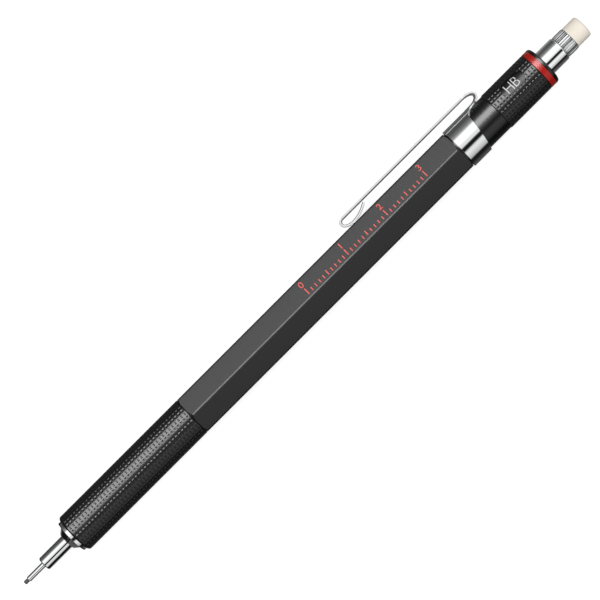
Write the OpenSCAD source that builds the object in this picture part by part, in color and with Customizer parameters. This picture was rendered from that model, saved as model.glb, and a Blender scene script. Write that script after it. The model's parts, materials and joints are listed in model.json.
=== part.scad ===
// Mechanical drafting pencil lying on a table: fixed lead sleeve, knurled grip,
// six-sided barrel, sprung clip, turning grade dial, push button and eraser.
// Pieces are drawn along their own axis, where the height is the distance from
// the lead's point, and are then laid down with the point towards -X.

/* [Lead] */
// Diameter of the lead
lead_d = 0.56; // [0.4:0.01:0.7]
// Lead that shows in front of its sleeve
lead_out = 0.98; // [0.3:0.01:2]
// Length of a stick of lead
lead_len = 60; // [50:1:70]
// Spare leads in the magazine
spare_count = 3; // [1:1:5]

/* [Nose] */
// Outer diameter of the lead sleeve
sleeve_d = 1.0; // [0.9:0.02:1.2]
// Sleeve that shows in front of the nose tube
sleeve_out = 3.88; // [2:0.02:5]
// Sleeve that is pressed into the nose tube
sleeve_seat = 3.2; // [2:0.1:4]
// Diameter of the nose tube
nose_tube_d = 2.74; // [2.6:0.02:3.2]
// Length of the nose tube
nose_tube_len = 5.81; // [5.5:0.01:8]
// Chamfer on the nose tube's front edge
nose_tube_chamfer = 0.18; // [0.05:0.01:0.3]
// Small end of the nose cone
cone_front_d = 3.5; // [3.3:0.05:4]
// Large end of the nose cone
cone_rear_d = 5.35; // [5:0.05:5.8]
// Length of the nose cone
cone_len = 1.13; // [0.8:0.01:2]
// Diameter of the flange behind the cone
flange_d = 6.74; // [6.2:0.02:7.4]
// Thickness of the flange
flange_len = 0.77; // [0.5:0.01:1.2]
// Diameter of the screwed spigot inside the grip
thread_d = 5.6; // [5.4:0.05:6]
// Wall between the sleeve's seat and the lead retainer
sleeve_stop = 0.5; // [0.3:0.1:0.8]
// Diameter of the rubber lead retainer
retainer_d = 1.86; // [1.6:0.02:1.9]
// Length of the lead retainer
retainer_len = 2; // [1.5:0.1:2.5]

/* [Grip and barrel] */
// Diameter of the grip over its knurl
grip_d = 8; // [7.6:0.02:8.6]
// Length of the grip
grip_len = 30.13; // [26:0.01:36]
// Chamfer on the grip's ends
grip_chamfer = 0.3; // [0.1:0.05:0.5]
// Joint line between the grip and the barrel
joint_gap = 0.13; // [0.05:0.01:0.3]
// Width of the barrel across its flats
barrel_af = 7.93; // [7.6:0.01:8.3]
// Diameter to which the barrel's corners are turned
barrel_corner_d = 9; // [8.8:0.02:9.1]
// Length of the six-sided barrel
barrel_len = 68.27; // [60:0.01:80]
// Length of the turned chamfer on the barrel's ends
barrel_chamfer = 0.5; // [0.2:0.05:0.8]
// Diameter of the barrel's spigot inside the grip
barrel_spigot_d = 6.2; // [5.8:0.05:6.4]
// Length of that spigot
barrel_spigot_len = 6; // [4:0.5:7]

/* [Clip] */
// Diameter of the clip's ring
ring_d = 8.44; // [8.2:0.02:8.8]
// Length of the ring below the clip
ring_len = 5.3; // [4:0.1:7]
// Wall of the ring
ring_wall = 0.44; // [0.38:0.01:0.5]
// How much shorter the ring is on the far side
ring_slant = 1.3; // [0.5:0.1:2]
// Joint line between the barrel and the ring
ring_gap = 0.3; // [0.1:0.05:0.5]
// Width of the clip
clip_w = 2.6; // [2:0.1:3.2]
// Thickness of the clip's sheet
clip_t = 0.4; // [0.3:0.02:0.5]
// Free space between the clip's tongue and the neck
tongue_gap = 0.06; // [0.04:0.01:0.12]
// Distance from the pencil's axis to the clip's outer face
clip_reach = 6.33; // [6.1:0.01:6.8]
// Length of the clip from its nose to its rear loop
clip_len = 34.36; // [28:0.01:40]
// Free space between the clip's loop and the grade dial
clip_loop_gap = 0.11; // [0.05:0.01:0.3]
// Outer radius of the clip's rolled nose
clip_nose_r = 1.03; // [0.9:0.01:1.15]
// Outer radius of the clip's foot, which presses on the barrel
clip_foot_r = 1.5; // [1.2:0.05:1.8]
// Slope of the sheet between nose and foot
clip_nose_slope = 30; // [25:1:40]
// Slope of the clip's tail behind the foot
clip_tail_slope = 16; // [10:1:18]
// Distance from the clip's nose to the end of its tail
clip_tail_len = 6.1; // [4.5:0.1:6.5]

/* [Grade dial] */
// Diameter of the neck behind the ring
neck_d = 7.73; // [7.5:0.01:7.9]
// Neck that shows between the ring and the dial
neck_len = 3.97; // [3.4:0.01:6]
// Length of the neck's spigot inside the barrel
neck_spigot_len = 7; // [5:0.5:10]
// Diameter of the neck's spigot
neck_spigot_d = 6.2; // [5.6:0.05:6.4]
// Wall of the guide tube that carries the dial
guide_wall = 0.4; // [0.3:0.05:0.5]
// Diameter of the dial over its knurl
dial_d = 7.97; // [7.8:0.01:8.2]
// Length of the dial
dial_len = 10.43; // [9:0.01:13]
// Wall of the dial
dial_wall = 0.42; // [0.35:0.01:0.5]
// Length of the window along the dial
window_len = 5.6; // [4:0.1:7]
// Width of the window around the dial
window_w = 2.7; // [2:0.05:3]
// Distance from the dial's front edge to the window's middle
window_at = 5.53; // [4:0.01:6]
// Turn from the clip to the window
window_turn = 65.5; // [0:0.5:180]
// Width of the index line on each side of the window
index_w = 0.25; // [0.1:0.05:0.5]
// Depth of the index line
index_depth = 0.15; // [0.05:0.01:0.25]

/* [Rear end] */
// Diameter of the red ring
red_d = 7.97; // [7.8:0.01:8.2]
// Length of the red ring
red_len = 1.25; // [0.8:0.05:2]
// Diameter of the end rim
rim_d = 8; // [7.8:0.01:8.2]
// Length of the end rim
rim_len = 0.85; // [0.7:0.01:1.5]
// Radius of the end rim's rear edge
rim_edge_r = 0.55; // [0.2:0.05:0.6]
// Thickness of the end rim's lip round the button
rim_lip = 0.35; // [0.25:0.01:0.45]
// Diameter of the push button
button_d = 4.97; // [4.8:0.01:5.1]
// Push button that shows behind the end rim
button_out = 3.95; // [3.5:0.05:6]
// Push button inside the guide tube
button_in = 11; // [9:0.5:12]
// Length of the push button on the lead magazine
button_seat = 6; // [4:0.5:7]
// Diameter of the eraser's ferrule
ferrule_d = 4.66; // [4.5:0.01:4.75]
// Ferrule that shows behind the button
ferrule_len = 2.52; // [2:0.01:4]
// Ribs around the ferrule
ferrule_ribs = 14; // [10:1:24]
// Depth of the grooves between the ribs
rib_depth = 0.1; // [0.05:0.01:0.12]
// Diameter of the ferrule's cup inside the button
cup_d = 4.38; // [4.3:0.01:4.45]
// Length of the ferrule's cup inside the button
cup_len = 4; // [3:0.1:5]
// Wall of the ferrule's cup
cup_wall = 0.22; // [0.18:0.01:0.3]
// Floor of the ferrule's cup
cup_floor = 0.5; // [0.3:0.1:0.8]
// Diameter of the eraser's head
eraser_d = 4.44; // [4.3:0.01:4.5]
// Eraser that shows behind the ferrule
eraser_out = 3.39; // [2:0.01:6]
// Radius of the eraser's rear edge
eraser_edge_r = 0.4; // [0.1:0.05:0.8]

/* [Mechanism] */
// Travel of the push button
push_travel = 3; // [2:0.1:3.5]
// Lead fed by one push
lead_feed = 0.6; // [0.4:0.05:0.8]
// Diameter of the chuck's head
chuck_head_d = 2.9; // [2.7:0.05:3]
// Straight part of the chuck's head
chuck_head_len = 1.3; // [1:0.1:2]
// Tapered part of the chuck's head
chuck_taper_len = 1.7; // [1.4:0.1:2]
// Diameter of the chuck's stem
chuck_stem_d = 2.1; // [2:0.02:2.2]
// Length of the chuck's stem inside its connector
chuck_seat = 4; // [3:0.5:6]
// Jaws of the chuck
jaw_count = 3; // [2:1:4]
// Width of the slits between the jaws
jaw_slit = 0.25; // [0.15:0.01:0.3]
// Length of the slits between the jaws
jaw_len = 8; // [6:0.5:10]
// Diameter of the clutch ring
clutch_d = 4; // [3.8:0.02:4.2]
// Length of the clutch ring
clutch_len = 2.2; // [1.8:0.1:3]
// Distance from the start of the chuck's taper to the clutch ring
clutch_setback = 0.3; // [0.1:0.05:0.6]
// Diameter of the spring housing
housing_d = 4.2; // [4.1:0.02:4.4]
// Thickness of the housing's front lip
housing_lip = 1; // [0.6:0.1:1.5]
// Thickness of the housing's flange between nose and grip
housing_flange = 0.8; // [0.5:0.1:1.2]
// Diameter of the spring's space in the housing
housing_bore_d = 3.24; // [3.2:0.02:3.4]
// Diameter of the spring's wire
spring_wire = 0.32; // [0.25:0.01:0.36]
// Mean diameter of the spring's coils
spring_d = 2.74; // [2.7:0.01:2.8]
// Length of the spring at rest
spring_len = 10.8; // [9:0.1:14]
// Coils of the spring
spring_turns = 11; // [8:1:12]
// Length of the connector's collar, which slides in the housing
collar_len = 2.5; // [2:0.1:4]
// Length of the connector inside the lead magazine
connector_seat = 5; // [3:0.5:7]
// Outer diameter of the lead magazine
magazine_d = 3.8; // [3.6:0.05:4]
// Bore of the lead magazine
magazine_bore_d = 2.8; // [2.6:0.05:3]

/* [Fits] */
// Radial clearance of pieces that stay together
fit = 0.02; // [0.01:0.01:0.04]
// Radial clearance of pieces that slide or turn
slide_gap = 0.06; // [0.04:0.01:0.08]
// Radial clearance round the lead
lead_gap = 0.03; // [0.02:0.01:0.05]
// End clearance of pieces that move
end_gap = 0.05; // [0.03:0.01:0.1]
// Free room round and in front of moving pieces
room = 0.3; // [0.2:0.05:0.4]

/* [Hidden] */
$fn = 96;

// Radii
lead_r = lead_d / 2;
sleeve_r = sleeve_d / 2;
nose_tube_r = nose_tube_d / 2;
thread_r = thread_d / 2;
retainer_r = retainer_d / 2;
grip_r = grip_d / 2;
flat_r = barrel_af / 2;
corner_r = min(barrel_corner_d / 2, flat_r / cos(30));
barrel_spigot_r = barrel_spigot_d / 2;
ring_r = ring_d / 2;
ring_bore_r = ring_r - ring_wall;
ring_seat_r = ring_bore_r - fit;
neck_r = neck_d / 2;
neck_spigot_r = neck_spigot_d / 2;
dial_r = dial_d / 2;
dial_bore_r = dial_r - dial_wall;
button_r = button_d / 2;
guide_bore_r = button_r + slide_gap;
guide_r = guide_bore_r + guide_wall;
ferrule_r = ferrule_d / 2;
cup_r = cup_d / 2;
stem_bore_r = cup_r - cup_wall;
eraser_r = eraser_d / 2;
chuck_head_r = chuck_head_d / 2;
chuck_stem_r = chuck_stem_d / 2;
clutch_r = clutch_d / 2;
clutch_space_r = clutch_r + slide_gap;
chuck_space_r = chuck_head_r + room;
housing_r = housing_d / 2;
housing_bore_r = housing_bore_d / 2;
magazine_r = magazine_d / 2;
magazine_bore_r = magazine_bore_d / 2;
grip_bore_r = max(housing_r, magazine_r) + room;
barrel_bore_r = magazine_r + room;
lead_way_r = lead_r + room;

// Heights of the outside, from the lead's point to the eraser's end
sleeve_z = lead_out;
tube_z = sleeve_z + sleeve_out;
cone_z = tube_z + nose_tube_len;
flange_z = cone_z + cone_len;
grip_z = flange_z + flange_len;
grip_end = grip_z + grip_len;
barrel_z = grip_end + joint_gap;
barrel_end = barrel_z + barrel_len;
ring_z = barrel_end + ring_gap;
ring_end = ring_z + ring_len;
dial_z = ring_end + neck_len;
dial_end = dial_z + dial_len;
rim_z = dial_end + red_len;
rim_end = rim_z + rim_len;
button_end = rim_end + button_out;
ferrule_end = button_end + ferrule_len;
eraser_end = ferrule_end + eraser_out;

// Heights of the mechanism
seat_z = tube_z + sleeve_seat;
retainer_z = seat_z + sleeve_stop;
chuck_space_z = flange_z;
chuck_z = chuck_space_z + push_travel + room;
taper_z = chuck_z + chuck_head_len;
taper_end = taper_z + chuck_taper_len;
clutch_z = taper_z + clutch_setback;
clutch_end = clutch_z + clutch_len;
clutch_stop_z = clutch_z - lead_feed - end_gap;
lip_z = clutch_end + end_gap;
thread_end = lip_z + 2 * housing_lip;
shoulder_z = thread_end + housing_flange;
spring_z = lip_z + housing_lip + end_gap;
spring_end = spring_z + spring_len;
connector_z = spring_end + end_gap;
chuck_end = connector_z + chuck_seat;
collar_end = connector_z + collar_len;
housing_end = collar_end + room;
magazine_z = housing_end + push_travel + room;
connector_end = magazine_z + connector_seat;
barrel_spigot_z = barrel_z - barrel_spigot_len;
neck_z = barrel_end - neck_spigot_len;
button_z = rim_end - button_in;
guide_z = button_z - push_travel - room;
guide_end = rim_end - rim_lip;
magazine_end = button_z + button_seat;
cup_z = button_end - cup_len;
stem_z = cup_z + cup_floor + end_gap;

// Radius of the chuck's taper at a height
function taper_r(z) = chuck_head_r
    + (chuck_stem_r - chuck_head_r) * (z - taper_z) / chuck_taper_len;

// Clip outline in its own plane: points are [distance from the axis, height]
clip_end = dial_z - clip_loop_gap;
clip_front = clip_end - clip_len;
tongue_root_r = ring_bore_r + fit;
tongue_r = max(neck_r, tongue_root_r) + tongue_gap;
loop_r = (clip_reach - tongue_r) / 2;
loop_c = [tongue_r + loop_r, clip_end - loop_r];
nose_c = [clip_reach - clip_nose_r, clip_front + clip_nose_r];
nose_turn = 180 - clip_nose_slope;
foot_low = flat_r + fit;
foot_c_r = foot_low + clip_foot_r;
nose_leave = nose_c + clip_nose_r * [cos(nose_turn), -sin(nose_turn)];
foot_meet_r = foot_c_r + clip_foot_r * cos(nose_turn);
foot_meet_z = nose_leave[1] + (nose_leave[0] - foot_meet_r) / tan(clip_nose_slope);
foot_c = [foot_c_r, foot_meet_z + clip_foot_r * sin(nose_turn)];
tail_turn = 180 + clip_tail_slope;
tail_leave = foot_c + clip_foot_r * [cos(tail_turn), -sin(tail_turn)];
tail_run = clip_front + clip_tail_len - tail_leave[1];
half_t = clip_t / 2;
arc_steps = 12;
split_turn = 2;
tongue_z = ring_end - ring_len / 2;

// Points on an arc round c; a turn of 0 faces away from the pencil's axis, 90 to the front
function arc(c, r, from, to) =
    [for (i = [0 : arc_steps]) let (a = from + (to - from) * i / arc_steps)
        c + r * [cos(a), -sin(a)]];

// Middle line of the sprung arm, from the loop's rearmost point to the tail
arm_line = concat(
    arc(loop_c, loop_r - half_t, -90 + split_turn, 0),
    arc(nose_c, clip_nose_r - half_t, 0, nose_turn),
    arc(foot_c, clip_foot_r - half_t, nose_turn, tail_turn),
    [tail_leave + half_t * [-cos(tail_turn), sin(tail_turn)]
        + tail_run * [tan(clip_tail_slope), 1]]
);

// Middle line of the tongue, from inside the ring's wall to the loop's rearmost point
tongue_line = concat(
    [[tongue_root_r + half_t, tongue_z], [tongue_r + half_t, ring_end]],
    arc(loop_c, loop_r - half_t, -180, -90)
);

// Unit vector square to a line at its point i
function unit(v) = v / norm(v);
function square_to(line, i) =
    let (last = len(line) - 1,
        along = unit(line[min(i + 1, last)] - line[max(i - 1, 0)]))
    [-along[1], along[0]];

// Closed outline of a strip of thickness clip_t along a middle line
function strip(line) = concat(
    [for (i = [0 : len(line) - 1]) line[i] + half_t * square_to(line, i)],
    [for (i = [len(line) - 1 : -1 : 0]) line[i] - half_t * square_to(line, i)]
);

// Helix of the chuck's spring
coil_steps = 12;
wire_sides = 6;
wire_r = spring_wire / 2;
coil_count = spring_turns * coil_steps;
coil_pitch = (spring_len - spring_wire) / spring_turns;
coil_lean = atan(coil_pitch / (PI * spring_d));
function coil_point(i) =
    let (a = 360 * i / coil_steps)
    [spring_d / 2 * cos(a), spring_d / 2 * sin(a),
        spring_z + wire_r + coil_pitch * i / coil_steps];
function wire_point(i, k) =
    let (a = 360 * i / coil_steps, b = 360 * k / wire_sides,
        out = [cos(a), sin(a), 0],
        up = [sin(a) * sin(coil_lean), -cos(a) * sin(coil_lean), cos(coil_lean)])
    coil_point(i) + wire_r * (cos(b) * out + sin(b) * up);
coil_gap = min([for (i = [0 : coil_count - coil_steps])
    norm(coil_point(i + coil_steps) - coil_point(i))]) - spring_wire;
echo(least_gap_between_coils = coil_gap);

// Place on the table: the point towards -X, a flat of the barrel facing down
clip_lift = 30;
side_reach = max(corner_r, clip_reach * cos(clip_lift) + clip_w / 2 * sin(clip_lift));
axis_x = -eraser_end / 2;
axis_y = (corner_r - side_reach) / 2;
axis_z = max(ring_d, grip_d, barrel_af, dial_d, red_d, rim_d) / 2;

// Lays a piece down; its own X is where the clip is
module lay() {
    translate([axis_x, axis_y, axis_z])
        rotate([clip_lift, 0, 0])
            rotate([90, 0, 90])
                children();
}

// Turned piece from its half outline of [radius, height] points
module turned(outline) {
    rotate_extrude()
        polygon(outline);
}

// Straight tube between two heights
module tube(inner, outer, from, to) {
    turned([[inner, from], [outer, from], [outer, to], [inner, to]]);
}

// Sheet strip of the clip's width along a middle line
module clip_strip(line) {
    rotate([90, 0, 0])
        linear_extrude(clip_w, center = true)
            polygon(strip(line));
}

// Stick of lead with its front edge worn
module lead() {
    worn = lead_r / 4;
    color("dimgray") lay()
        turned([[0, 0], [lead_r - worn, 0], [lead_r, worn], [lead_r, lead_len], [0, lead_len]]);
}

// Spare leads lying on the lowest side of the magazine's bore
module spare_leads() {
    down = -90 - clip_lift;
    ring = magazine_bore_r - lead_r - fit;
    step = 2 * asin((lead_r + fit) / ring);
    color("gray") lay()
        for (i = [0 : spare_count - 1])
            rotate([0, 0, down + (i - (spare_count - 1) / 2) * step])
                translate([ring, 0, connector_end + room])
                    cylinder(r = lead_r, h = lead_len);
}

// Steel tube that guides the lead
module lead_sleeve() {
    color("silver") lay()
        tube(lead_r + lead_gap, sleeve_r, sleeve_z, seat_z);
}

// Nose: tube, cone, flange and the screwed spigot with the chuck's space
module nose_piece() {
    color("silver") lay() turned([
        [sleeve_r + fit, tube_z],
        [nose_tube_r - nose_tube_chamfer, tube_z],
        [nose_tube_r, tube_z + nose_tube_chamfer],
        [nose_tube_r, cone_z],
        [cone_front_d / 2, cone_z],
        [cone_rear_d / 2, flange_z],
        [flange_d / 2, flange_z],
        [flange_d / 2, grip_z],
        [thread_r, grip_z],
        [thread_r, thread_end],
        [clutch_space_r, thread_end],
        [clutch_space_r, clutch_stop_z],
        [chuck_space_r, clutch_stop_z],
        [chuck_space_r, chuck_space_z],
        [retainer_r + fit, chuck_space_z],
        [retainer_r + fit, retainer_z],
        [lead_r + lead_gap, retainer_z],
        [lead_r + lead_gap, seat_z],
        [sleeve_r + fit, seat_z]
    ]);
}

// Rubber bush that keeps the lead from falling out
module lead_retainer() {
    color("black") lay()
        tube(lead_r + lead_gap, retainer_r, retainer_z, retainer_z + retainer_len);
}

// Ring that closes the chuck's jaws until it meets its stop in the nose
module clutch_ring() {
    color("gold") lay() turned([
        [taper_r(clutch_z) + slide_gap, clutch_z],
        [clutch_r, clutch_z],
        [clutch_r, clutch_end],
        [chuck_stem_r + slide_gap, clutch_end],
        [chuck_stem_r + slide_gap, taper_end]
    ]);
}

// Slit collet that grips the lead
module chuck() {
    nib = room;
    color("goldenrod") lay() difference() {
        turned([
            [lead_r + fit, chuck_z],
            [chuck_head_r - nib, chuck_z],
            [chuck_head_r, chuck_z + nib],
            [chuck_head_r, taper_z],
            [chuck_stem_r, taper_end],
            [chuck_stem_r, chuck_end],
            [lead_r + fit, chuck_end]
        ]);
        for (i = [0 : jaw_count - 1])
            rotate([0, 0, 360 / jaw_count * i])
                translate([0, -jaw_slit / 2, chuck_z - room])
                    cube([chuck_head_d, jaw_slit, jaw_len + room]);
    }
}

// Housing of the spring; its flange is held between the nose and the grip
module spring_housing() {
    color("whitesmoke") lay() turned([
        [chuck_stem_r + slide_gap, lip_z],
        [clutch_space_r - fit, lip_z],
        [clutch_space_r - fit, thread_end],
        [thread_r, thread_end],
        [thread_r, shoulder_z],
        [housing_r, shoulder_z],
        [housing_r, housing_end],
        [housing_bore_r, housing_end],
        [housing_bore_r, lip_z + housing_lip],
        [chuck_stem_r + slide_gap, lip_z + housing_lip]
    ]);
}

// Spring that draws the chuck back into the clutch ring
module chuck_spring() {
    points = concat(
        [for (i = [0 : coil_count]) for (k = [0 : wire_sides - 1]) wire_point(i, k)],
        [coil_point(0), coil_point(coil_count)]
    );
    front = (coil_count + 1) * wire_sides;
    sides = [for (i = [0 : coil_count - 1]) for (k = [0 : wire_sides - 1])
        let (a = i * wire_sides + k, b = i * wire_sides + (k + 1) % wire_sides)
        each [[a, b, b + wire_sides], [a, b + wire_sides, a + wire_sides]]];
    ends = [for (k = [0 : wire_sides - 1])
        let (n = (k + 1) % wire_sides, z = coil_count * wire_sides)
        each [[front, n, k], [front + 1, z + k, z + n]]];
    color("lightgray") lay()
        polyhedron(points, concat(sides, ends));
}

// Joins the chuck to the lead magazine; its collar takes the spring's push
module chuck_connector() {
    color("goldenrod") lay() turned([
        [chuck_stem_r + fit, connector_z],
        [housing_bore_r - slide_gap, connector_z],
        [housing_bore_r - slide_gap, collar_end],
        [magazine_bore_r - fit, collar_end],
        [magazine_bore_r - fit, connector_end],
        [lead_way_r, connector_end],
        [lead_way_r, chuck_end],
        [chuck_stem_r + fit, chuck_end]
    ]);
}

// Tube that stores the leads and carries the button's push
module lead_magazine() {
    color("white") lay()
        tube(magazine_bore_r, magazine_r, magazine_z, magazine_end);
}

// Grip, screwed on the barrel and holding the nose
module grip() {
    color([0.1, 0.1, 0.1]) lay() turned([
        [thread_r + fit, grip_z],
        [grip_r - grip_chamfer, grip_z],
        [grip_r, grip_z + grip_chamfer],
        [grip_r, grip_end - grip_chamfer],
        [grip_r - grip_chamfer, grip_end],
        [barrel_spigot_r + fit, grip_end],
        [barrel_spigot_r + fit, barrel_spigot_z],
        [grip_bore_r, barrel_spigot_z],
        [grip_bore_r, shoulder_z],
        [thread_r + fit, shoulder_z]
    ]);
}

// Six-sided barrel with turned corners and ends
module barrel() {
    rim_r = corner_r - barrel_chamfer;
    color([0.2, 0.2, 0.2]) lay() difference() {
        union() {
            intersection() {
                translate([0, 0, barrel_z])
                    rotate([0, 0, 30])
                        cylinder(r = flat_r / cos(30), h = barrel_len, $fn = 6);
                turned([
                    [0, barrel_z],
                    [rim_r, barrel_z],
                    [corner_r, barrel_z + barrel_chamfer],
                    [corner_r, barrel_end - barrel_chamfer],
                    [rim_r, barrel_end],
                    [0, barrel_end]
                ]);
            }
            translate([0, 0, barrel_spigot_z])
                cylinder(r = barrel_spigot_r, h = barrel_spigot_len + barrel_chamfer);
        }
        translate([0, 0, barrel_spigot_z - room])
            cylinder(r = barrel_bore_r, h = barrel_end - barrel_spigot_z + 2 * room);
        translate([0, 0, neck_z])
            cylinder(r = neck_spigot_r + fit, h = neck_spigot_len + room);
    }
}

// Space behind the ring's slanted rear edge, up to the dial
module behind_ring(gap) {
    lean = atan(ring_slant / ring_d);
    translate([ring_r, 0, ring_end + gap])
        rotate([0, -lean, 0])
            translate([-2 * ring_d, -ring_d, 0])
                cube([3 * ring_d, 2 * ring_d, ring_len + neck_len]);
}

// Ring of the clip with the tongue that runs into the rear loop
module clip_ring() {
    color("silver") lay() {
        difference() {
            tube(ring_bore_r, ring_r, ring_z, ring_end);
            behind_ring(0);
        }
        clip_strip(tongue_line);
    }
}

// Sprung arm of the clip with its rolled nose, from the loop forwards
module clip_arm() {
    color("silver") lay()
        clip_strip(arm_line);
}

// Neck: spigot in the barrel, seat and slanted shoulder for the ring, guide tube for the button
module neck() {
    color([0.08, 0.08, 0.08]) lay() {
        turned([
            [barrel_bore_r, neck_z],
            [neck_spigot_r, neck_z],
            [neck_spigot_r, barrel_end],
            [ring_seat_r, barrel_end],
            [ring_seat_r, ring_end],
            [guide_r, ring_end],
            [guide_r, guide_end],
            [guide_bore_r, guide_end],
            [guide_bore_r, guide_z],
            [barrel_bore_r, guide_z]
        ]);
        intersection() {
            tube(guide_r - guide_wall / 2, neck_r, ring_z, dial_z);
            behind_ring(end_gap);
        }
    }
}

// Fixed drum that carries the lead grades under the dial's window
module grade_drum() {
    color([0.15, 0.15, 0.15]) lay()
        tube(guide_r + fit, dial_bore_r - slide_gap, dial_z, dial_end);
}

// Dial that turns to show one grade in its window
module grade_dial() {
    window_z = dial_z + window_at;
    round_r = window_w / 2;
    straight = window_len - window_w;
    color([0.1, 0.1, 0.1]) lay() difference() {
        tube(dial_bore_r, dial_r, dial_z + end_gap, dial_end - end_gap);
        rotate([0, 0, window_turn])
            translate([0, 0, window_z]) {
                for (side = [-1, 1])
                    translate([0, 0, side * straight / 2])
                        rotate([0, 90, 0])
                            cylinder(r = round_r, h = dial_d);
                translate([0, -round_r, -straight / 2])
                    cube([dial_d, window_w, straight]);
            }
        rotate([0, 0, window_turn])
            translate([dial_r - index_depth, -index_w / 2, dial_z])
                cube([dial_wall, index_w, dial_len]);
    }
}

// Red ring behind the dial
module red_ring() {
    color("firebrick") lay()
        tube(guide_r + fit, red_d / 2, dial_end, rim_z);
}

// End rim that closes the guide tube round the button
module end_rim() {
    edge_r = min(rim_edge_r, rim_len);
    edge_c = [rim_d / 2 - edge_r, rim_end - edge_r];
    edge = [for (i = [0 : arc_steps / 2]) let (a = 180 * i / arc_steps)
        edge_c + edge_r * [cos(a), sin(a)]];
    color("black") lay() turned(concat(
        [[guide_r + fit, rim_z], [rim_d / 2, rim_z]],
        edge,
        [[guide_bore_r, rim_end], [guide_bore_r, guide_end], [guide_r + fit, guide_end]]
    ));
}

// Push button: slides in the guide tube and sits on the lead magazine
module push_button() {
    color("silver") lay() turned([
        [magazine_r + fit, button_z],
        [button_r, button_z],
        [button_r, button_end],
        [cup_r + fit, button_end],
        [cup_r + fit, cup_z],
        [magazine_bore_r, cup_z],
        [magazine_bore_r, magazine_end],
        [magazine_r + fit, magazine_end]
    ]);
}

// Ribbed ferrule with the cup that holds the eraser
module eraser_ferrule() {
    chamfer = rib_depth;
    color("silver") lay() difference() {
        turned([
            [lead_way_r + room, cup_z],
            [cup_r, cup_z],
            [cup_r, button_end],
            [ferrule_r - chamfer, button_end],
            [ferrule_r, button_end + chamfer],
            [ferrule_r, ferrule_end - chamfer],
            [ferrule_r - chamfer, ferrule_end],
            [stem_bore_r, ferrule_end],
            [stem_bore_r, cup_z + cup_floor],
            [lead_way_r + room, cup_z + cup_floor]
        ]);
        for (i = [0 : ferrule_ribs - 1])
            rotate([0, 0, 360 / ferrule_ribs * i])
                translate([ferrule_r, 0, button_end - room])
                    cylinder(r = rib_depth, h = ferrule_len + 2 * room, $fn = 4);
    }
}

// Eraser: stem in the ferrule's cup and a head with a round edge
module eraser() {
    edge_c = [eraser_r - eraser_edge_r, eraser_end - eraser_edge_r];
    edge = [for (i = [0 : arc_steps / 2]) let (a = 180 * i / arc_steps)
        edge_c + eraser_edge_r * [cos(a), sin(a)]];
    color("linen") lay() turned(concat(
        [[0, stem_z], [stem_bore_r - fit, stem_z], [stem_bore_r - fit, ferrule_end + end_gap],
            [eraser_r, ferrule_end + end_gap]],
        edge,
        [[0, eraser_end]]
    ));
}

lead();
spare_leads();
lead_sleeve();
nose_piece();
lead_retainer();
clutch_ring();
chuck();
spring_housing();
chuck_spring();
chuck_connector();
lead_magazine();
grip();
barrel();
clip_ring();
clip_arm();
neck();
grade_drum();
grade_dial();
red_ring();
end_rim();
push_button();
eraser_ferrule();
eraser();
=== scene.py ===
"""Looks of a drafting pencil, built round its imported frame.

Every piece is modelled along X from the lead's point, with the clip towards +Z
and the viewer towards -Y, and is then laid down where the frame has the pencil.
"""

import json
import math

import bpy
from bpy.props import (
    FloatProperty, FloatVectorProperty, IntProperty, PointerProperty, StringProperty)
from mathutils import Matrix, Vector

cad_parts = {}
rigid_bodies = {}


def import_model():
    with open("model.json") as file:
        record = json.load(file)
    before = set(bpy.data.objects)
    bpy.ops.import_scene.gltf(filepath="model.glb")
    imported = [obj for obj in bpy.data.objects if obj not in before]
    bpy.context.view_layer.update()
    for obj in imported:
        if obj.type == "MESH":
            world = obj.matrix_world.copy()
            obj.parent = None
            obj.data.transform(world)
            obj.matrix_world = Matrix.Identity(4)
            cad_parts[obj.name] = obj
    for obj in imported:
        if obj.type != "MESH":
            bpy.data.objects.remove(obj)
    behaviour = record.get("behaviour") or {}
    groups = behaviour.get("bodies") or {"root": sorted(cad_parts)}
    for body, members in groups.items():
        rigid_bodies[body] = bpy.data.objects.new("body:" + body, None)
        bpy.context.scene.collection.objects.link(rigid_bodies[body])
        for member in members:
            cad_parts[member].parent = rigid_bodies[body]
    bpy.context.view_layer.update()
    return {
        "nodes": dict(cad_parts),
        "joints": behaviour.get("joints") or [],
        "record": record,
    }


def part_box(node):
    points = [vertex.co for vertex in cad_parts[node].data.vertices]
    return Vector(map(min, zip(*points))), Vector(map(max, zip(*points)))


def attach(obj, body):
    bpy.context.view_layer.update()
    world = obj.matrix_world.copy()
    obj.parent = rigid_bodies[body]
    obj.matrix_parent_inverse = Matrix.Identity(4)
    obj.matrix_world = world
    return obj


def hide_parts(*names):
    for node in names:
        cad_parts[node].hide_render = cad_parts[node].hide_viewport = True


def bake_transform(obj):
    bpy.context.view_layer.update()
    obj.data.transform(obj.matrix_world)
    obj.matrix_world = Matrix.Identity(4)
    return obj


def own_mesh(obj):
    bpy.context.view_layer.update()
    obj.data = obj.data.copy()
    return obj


bl_info = {
    "name": "Drafting pencil",
    "version": (1, 0, 0),
    "blender": (4, 5, 0),
    "location": "View3D > Sidebar > Pencil",
    "description": "Models the visible pieces of a drafting pencil round its packed frame",
    "category": "Object",
}

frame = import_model()

MM = 0.001
WELD = 0.0002 * MM  # points closer than this are one
ROUND_STEPS = 128  # faces round a turned piece
RING_STEPS = 96  # faces round the clip's ring
GRADE_CUTS = 14  # cuts over a grade's height, so that it bends round the drum
CAP_HEIGHT = 0.7  # height of the plain font's capitals at size 1
X_AXIS = Vector((1, 0, 0))

# Widths that edges are broken to
FINE_EDGE = 0.03 * MM
SOFT_EDGE = 0.04 * MM
ROUND_EDGE = 0.05 * MM

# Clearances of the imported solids
FIT = 0.02 * MM
SLIDE = 0.06 * MM
ROOM = 0.3 * MM

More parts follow.
